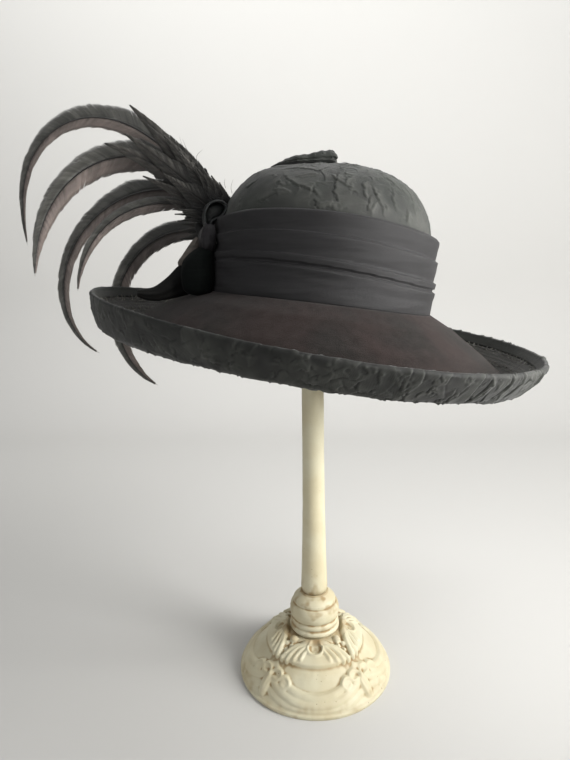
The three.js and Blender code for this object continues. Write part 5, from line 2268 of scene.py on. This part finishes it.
@dataclass
class Stand:
    """The turned stand: its cast foot, its collar, its stem and the pad inside the crown."""

    wardrobe: Wardrobe
    columns: int = 600
    foot_rows: int = 100
    front_shell: float = math.radians(-89.5)
    seed: int = 129
    foot: tuple[Row, ...] = (
        (75.4, 0), (76, 1), (76, 3.6), (74, 4.8), (71, 8), (67.5, 12.6), (64, 16.6), (60, 20.6),
        (55, 25.2), (49, 30), (43, 34.6), (36, 38.6), (30.5, 41), (28.5, 43), (24, 44.2),
    )
    collar: tuple[Row, ...] = (
        (18, 44.6), (22.6, 44.7), (23.0, 45.8), (24.4, 46.8), (24.7, 48.2), (24.3, 49.6), (23.4, 50.8),
        (22.9, 51.8), (23.2, 52.8), (23.8, 54), (23.7, 55.8), (22.9, 57.4), (22.2, 58.2), (22.8, 59.0),
        (23.8, 61), (24.3, 64), (24.3, 67.5), (23.7, 70.6), (22.6, 72.8), (21.5, 73.6), (20.9, 74.1),
        (21.1, 75), (20.9, 76.6), (19.6, 78.6), (17.6, 80.4), (15.4, 82.2), (13.9, 83.4), (13.3, 84.2),
    )
    stem: tuple[Row, ...] = (
        (12, 84.6), (13.2, 85), (13.0, 90), (12.6, 100), (11.7, 128), (10.8, 172),
        (10.3, 230), (10.2, 330), (10.0, 448.8), (8, 449),
    )
    pad: tuple[Row, ...] = (
        (11, 449.4), (20, 451.6), (28, 455), (36, 458.5), (39.4, 461.5), (40, 464), (39.8, 468), (38, 472),
        (35, 474), (25, 479), (12, 482),
    )

    def turned(self, rows: Array, wobble: float, hollow: Array) -> Form:
        """A turned form from rows of radius and height, with the marks of its finish.

        Args:
            rows: Radius and height of each loop.
            wobble: How uneven the surface is.
            hollow: How much patina lies at each loop.

        Returns:
            The form.
        """
        angle, radius = np.meshgrid(round_about(self.columns // 5), rows[:, 0])
        height = np.repeat(rows[:, 1][:, None], angle.shape[1], axis=1)
        points = np.stack([radius * np.cos(angle), radius * np.sin(angle), height], axis=-1)
        drift = Drift(self.seed)
        points = points + normals_of(points) * (wobble * drift.at(points, 9))[..., None]
        form = Form()
        cloudy = smooth(drift.at(points + 30, 7) + 0.5 * drift.at(points, 3), -0.1, 0.9)
        low_down = smooth(-height, -150, -85)
        stain = hollow[:, None] * (0.6 + 0.4 * cloudy) + 0.3 * cloudy * low_down + 0.1 * cloudy
        form.capsule(points, hollow=stain)
        return form

    @staticmethod
    def sunk(rows: Array, reach: int) -> Array:
        """How deep each row of a turned outline lies in a groove or corner.

        Args:
            rows: Radius and height of each loop.
            reach: How many rows off it is compared with.

        Returns:
            The depth of each, from 0 to 1.
        """
        radius = np.pad(rows[:, 0], reach, mode="edge")
        beside = (radius[: len(rows)] + radius[2 * reach :]) / 2
        return 0.7 * smooth(beside - rows[:, 0], 0.05, 0.7)

    def build_foot(self) -> None:
        """Builds the cast foot with its relief."""
        rows = evenly(np.array(self.foot), self.foot_rows)
        angle, radius = np.meshgrid(round_about(self.columns), rows[:, 0])
        height = np.repeat(rows[:, 1][:, None], self.columns, axis=1)
        points = np.stack([radius * np.cos(angle), radius * np.sin(angle), height], axis=-1)
        relief = FootRelief(angle - self.front_shell, radius).make()
        carved = smooth(height, 4.4, 6.5) * smooth(radius, 23.6, 25.2)
        relief = relief * carved
        drift = Drift(self.seed)
        rough = 0.16 * drift.at(points, 5) + 0.22 * drift.at(points, 17)
        facing = normals_of(points)
        shaped = points + facing * (relief * 0.95 + rough * smooth(height, 0.8, 3))[..., None]
        shaped[..., 2] = np.maximum(shaped[..., 2], 0)
        around = np.zeros_like(relief)
        for shift in (2, 4, 7):
            for axis in (0, 1):
                around += np.roll(relief, shift, axis) + np.roll(relief, -shift, axis)
        close = smooth(around / 12 - relief, 0.08, 0.95) * carved
        neck = 0.9 * smooth(-radius, -33, -27)
        blotch = 0.5 + 0.3 * drift.at(points + 70, 11) + 0.2 * drift.at(points + 20, 4)
        edge = 0.5 * np.exp(-(((height - 4.8) / 1.0) ** 2)) * blotch
        below = 0.5 * smooth(radius, 63, 71) * smooth(-height, -17, -7) * smooth(blotch, 0.25, 1.0)
        close = close * (0.45 + 0.55 * blotch)
        stain = np.maximum(np.maximum(close, neck * blotch), np.maximum(edge, below))
        form = Form()
        form.capsule(shaped, hollow=stain)
        form.settle("foot_casting", [self.wardrobe.paint], Matrix(), "cream_paint", "stand_foot")

    def build(self) -> None:
        """Builds the stand's four pieces."""
        self.build_foot()
        for name, node, table, count, wobble, reach in (
            ("collar_turning", "stand_collar", self.collar, 100, 0.12, 4),
            ("stem_turning", "stand_stem", self.stem, 64, 0.1, 1),
            ("top_pad", "stand_top", self.pad, 26, 0.05, 1),
        ):
            rows = evenly(np.array(table), count)
            above_collar = 0.42 * np.exp(-(((rows[:, 1] - 87) / 8) ** 2))
            form = self.turned(rows, wobble, np.maximum(self.sunk(rows, reach), above_collar))
            form.settle(name, [self.wardrobe.paint], Matrix(), "cream_paint", node)


# The room round the object: camera, light and floor.


@dataclass
class Studio:
    """A pale floor that sweeps up behind, soft light from the right, and the camera."""

    camera_place: tuple[float, float, float] = (0.0, -0.51577, 0.40678)
    pitch: float = 0.207432
    roll: float = -0.018215
    yaw: float = -0.04945
    focal_pixels: float = 571.0
    picture_height: float = 760.0
    floor_colour: Rgb = (196, 195, 192)

    def camera(self) -> None:
        """Sets up the camera at the photograph's viewing angle."""
        level = math.cos(self.pitch)
        sight = (math.sin(self.yaw) * level, math.cos(self.yaw) * level, -math.sin(self.pitch))
        ahead = Vector(sight)
        right = ahead.cross(Vector((0, 0, 1))).normalized()
        up = right.cross(ahead)
        lean_right = right * math.cos(self.roll) + up * math.sin(self.roll)
        lean_up = up * math.cos(self.roll) - right * math.sin(self.roll)
        turn = Matrix((lean_right, lean_up, -ahead)).transposed().to_4x4()
        data = bpy.data.cameras.new("camera")
        data.sensor_width = 36
        data.lens = data.sensor_width * self.focal_pixels / self.picture_height
        data.clip_start = 0.01
        camera = bpy.data.objects.new("camera", data)
        camera.matrix_world = Matrix.Translation(self.camera_place) @ turn
        bpy.context.scene.collection.objects.link(camera)
        bpy.context.scene.camera = camera

    def lamp(
        self,
        name: str,
        place: Sequence[float],
        aim: Sequence[float],
        size: float,
        power: float,
        tint: Rgb,
        spread: float = 180,
    ) -> None:
        """Adds one soft square lamp that faces a point.

        Args:
            name: What it is called.
            place: Where it hangs.
            aim: The point that it faces.
            size: The length of its sides.
            power: Its power in watts.
            tint: The colour of its light.
            spread: How wide its light opens, in degrees.
        """
        data = bpy.data.lights.new(name, "AREA")
        data.size = size
        data.energy = power
        data.color = colour(tint)[:3]
        data.spread = math.radians(spread)
        lamp = bpy.data.objects.new(name, data)
        lamp.location = place
        lamp.rotation_euler = (Vector(aim) - Vector(place)).to_track_quat("-Z", "Y").to_euler()
        bpy.context.scene.collection.objects.link(lamp)

    def floor(self) -> None:
        """Adds the pale floor and the sweep behind it."""
        front, back, bend, top, half = -1.6, 0.75, 0.35, 2.4, 3.0
        line = [(front, 0.0), (back, 0.0)]
        for step in range(1, 13):
            angle = math.pi / 2 * step / 12
            line.append((back + bend * math.sin(angle), bend * (1 - math.cos(angle))))
        line.append((back + bend, top))
        points = [(x, y, z) for y, z in line for x in (-half, half)]
        firsts = range(0, len(points) - 2, 2)
        faces = [(first, first + 1, first + 3, first + 2) for first in firsts]
        mesh = bpy.data.meshes.new("floor_sweep")
        mesh.from_pydata(points, [], faces)
        mesh.polygons.foreach_set("use_smooth", np.ones(len(faces), bool))
        surface = Surface("floor_paper")
        surface.shader.inputs["Base Color"].default_value = colour(self.floor_colour)
        surface.shader.inputs["Roughness"].default_value = 0.85
        mesh.materials.append(surface.material)
        floor = bpy.data.objects.new("floor_sweep", mesh)
        bpy.context.scene.collection.objects.link(floor)

    def build(self) -> None:
        """Builds the studio."""
        self.camera()
        self.floor()
        centre = (0, 0, 0.3)
        self.lamp("window_right", (1.5, -0.4, 0.8), centre, 1.0, 29, (255, 254, 252))
        self.lamp("near_right", (0.44, -0.24, 0.42), (0.18, 0.02, 0.36), 0.2, 1.6, (255, 254, 252), 120)
        self.lamp("high_right", (0.62, -0.3, 0.95), (0.16, 0, 0.33), 0.4, 2.0, (255, 254, 252))
        self.lamp("soft_front", (-1.0, -1.3, 0.7), (-0.1, 0, 0.3), 1.2, 8.6, (252, 253, 255))
        self.lamp("soft_top", (0.5, 0.2, 1.9), centre, 1.4, 5.5, (250, 252, 255))
        self.lamp("backdrop_wash", (-0.32, 0.1, 1.9), (-0.2, 1.1, 1.8), 1.6, 26, (252, 252, 251))
        world = bpy.data.worlds.new("pale_room")
        world.use_nodes = True
        sky = world.node_tree.nodes["Background"]
        sky.inputs["Color"].default_value = colour((240, 240, 240))
        sky.inputs["Strength"].default_value = 0.24
        bpy.context.scene.world = world
        bpy.context.scene.view_settings.view_transform = "Standard"


def main() -> None:
    """Builds the whole model round the frame and logs each piece's number of faces."""
    logging.basicConfig(level=logging.INFO, format="%(name)s: %(message)s")
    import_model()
    shape = HatShape()
    Studio().build()
    wardrobe = Wardrobe()
    for part in (Crown, CrownTab, Hatband, BrimFelt, BrimCover, RimBraid, Bow, TailFeathers, Plume):
        LOG.info("building the %s", part.__name__)
        part(shape, wardrobe).build()
    Stand(wardrobe).build()


if __name__ == "__main__":
    main()
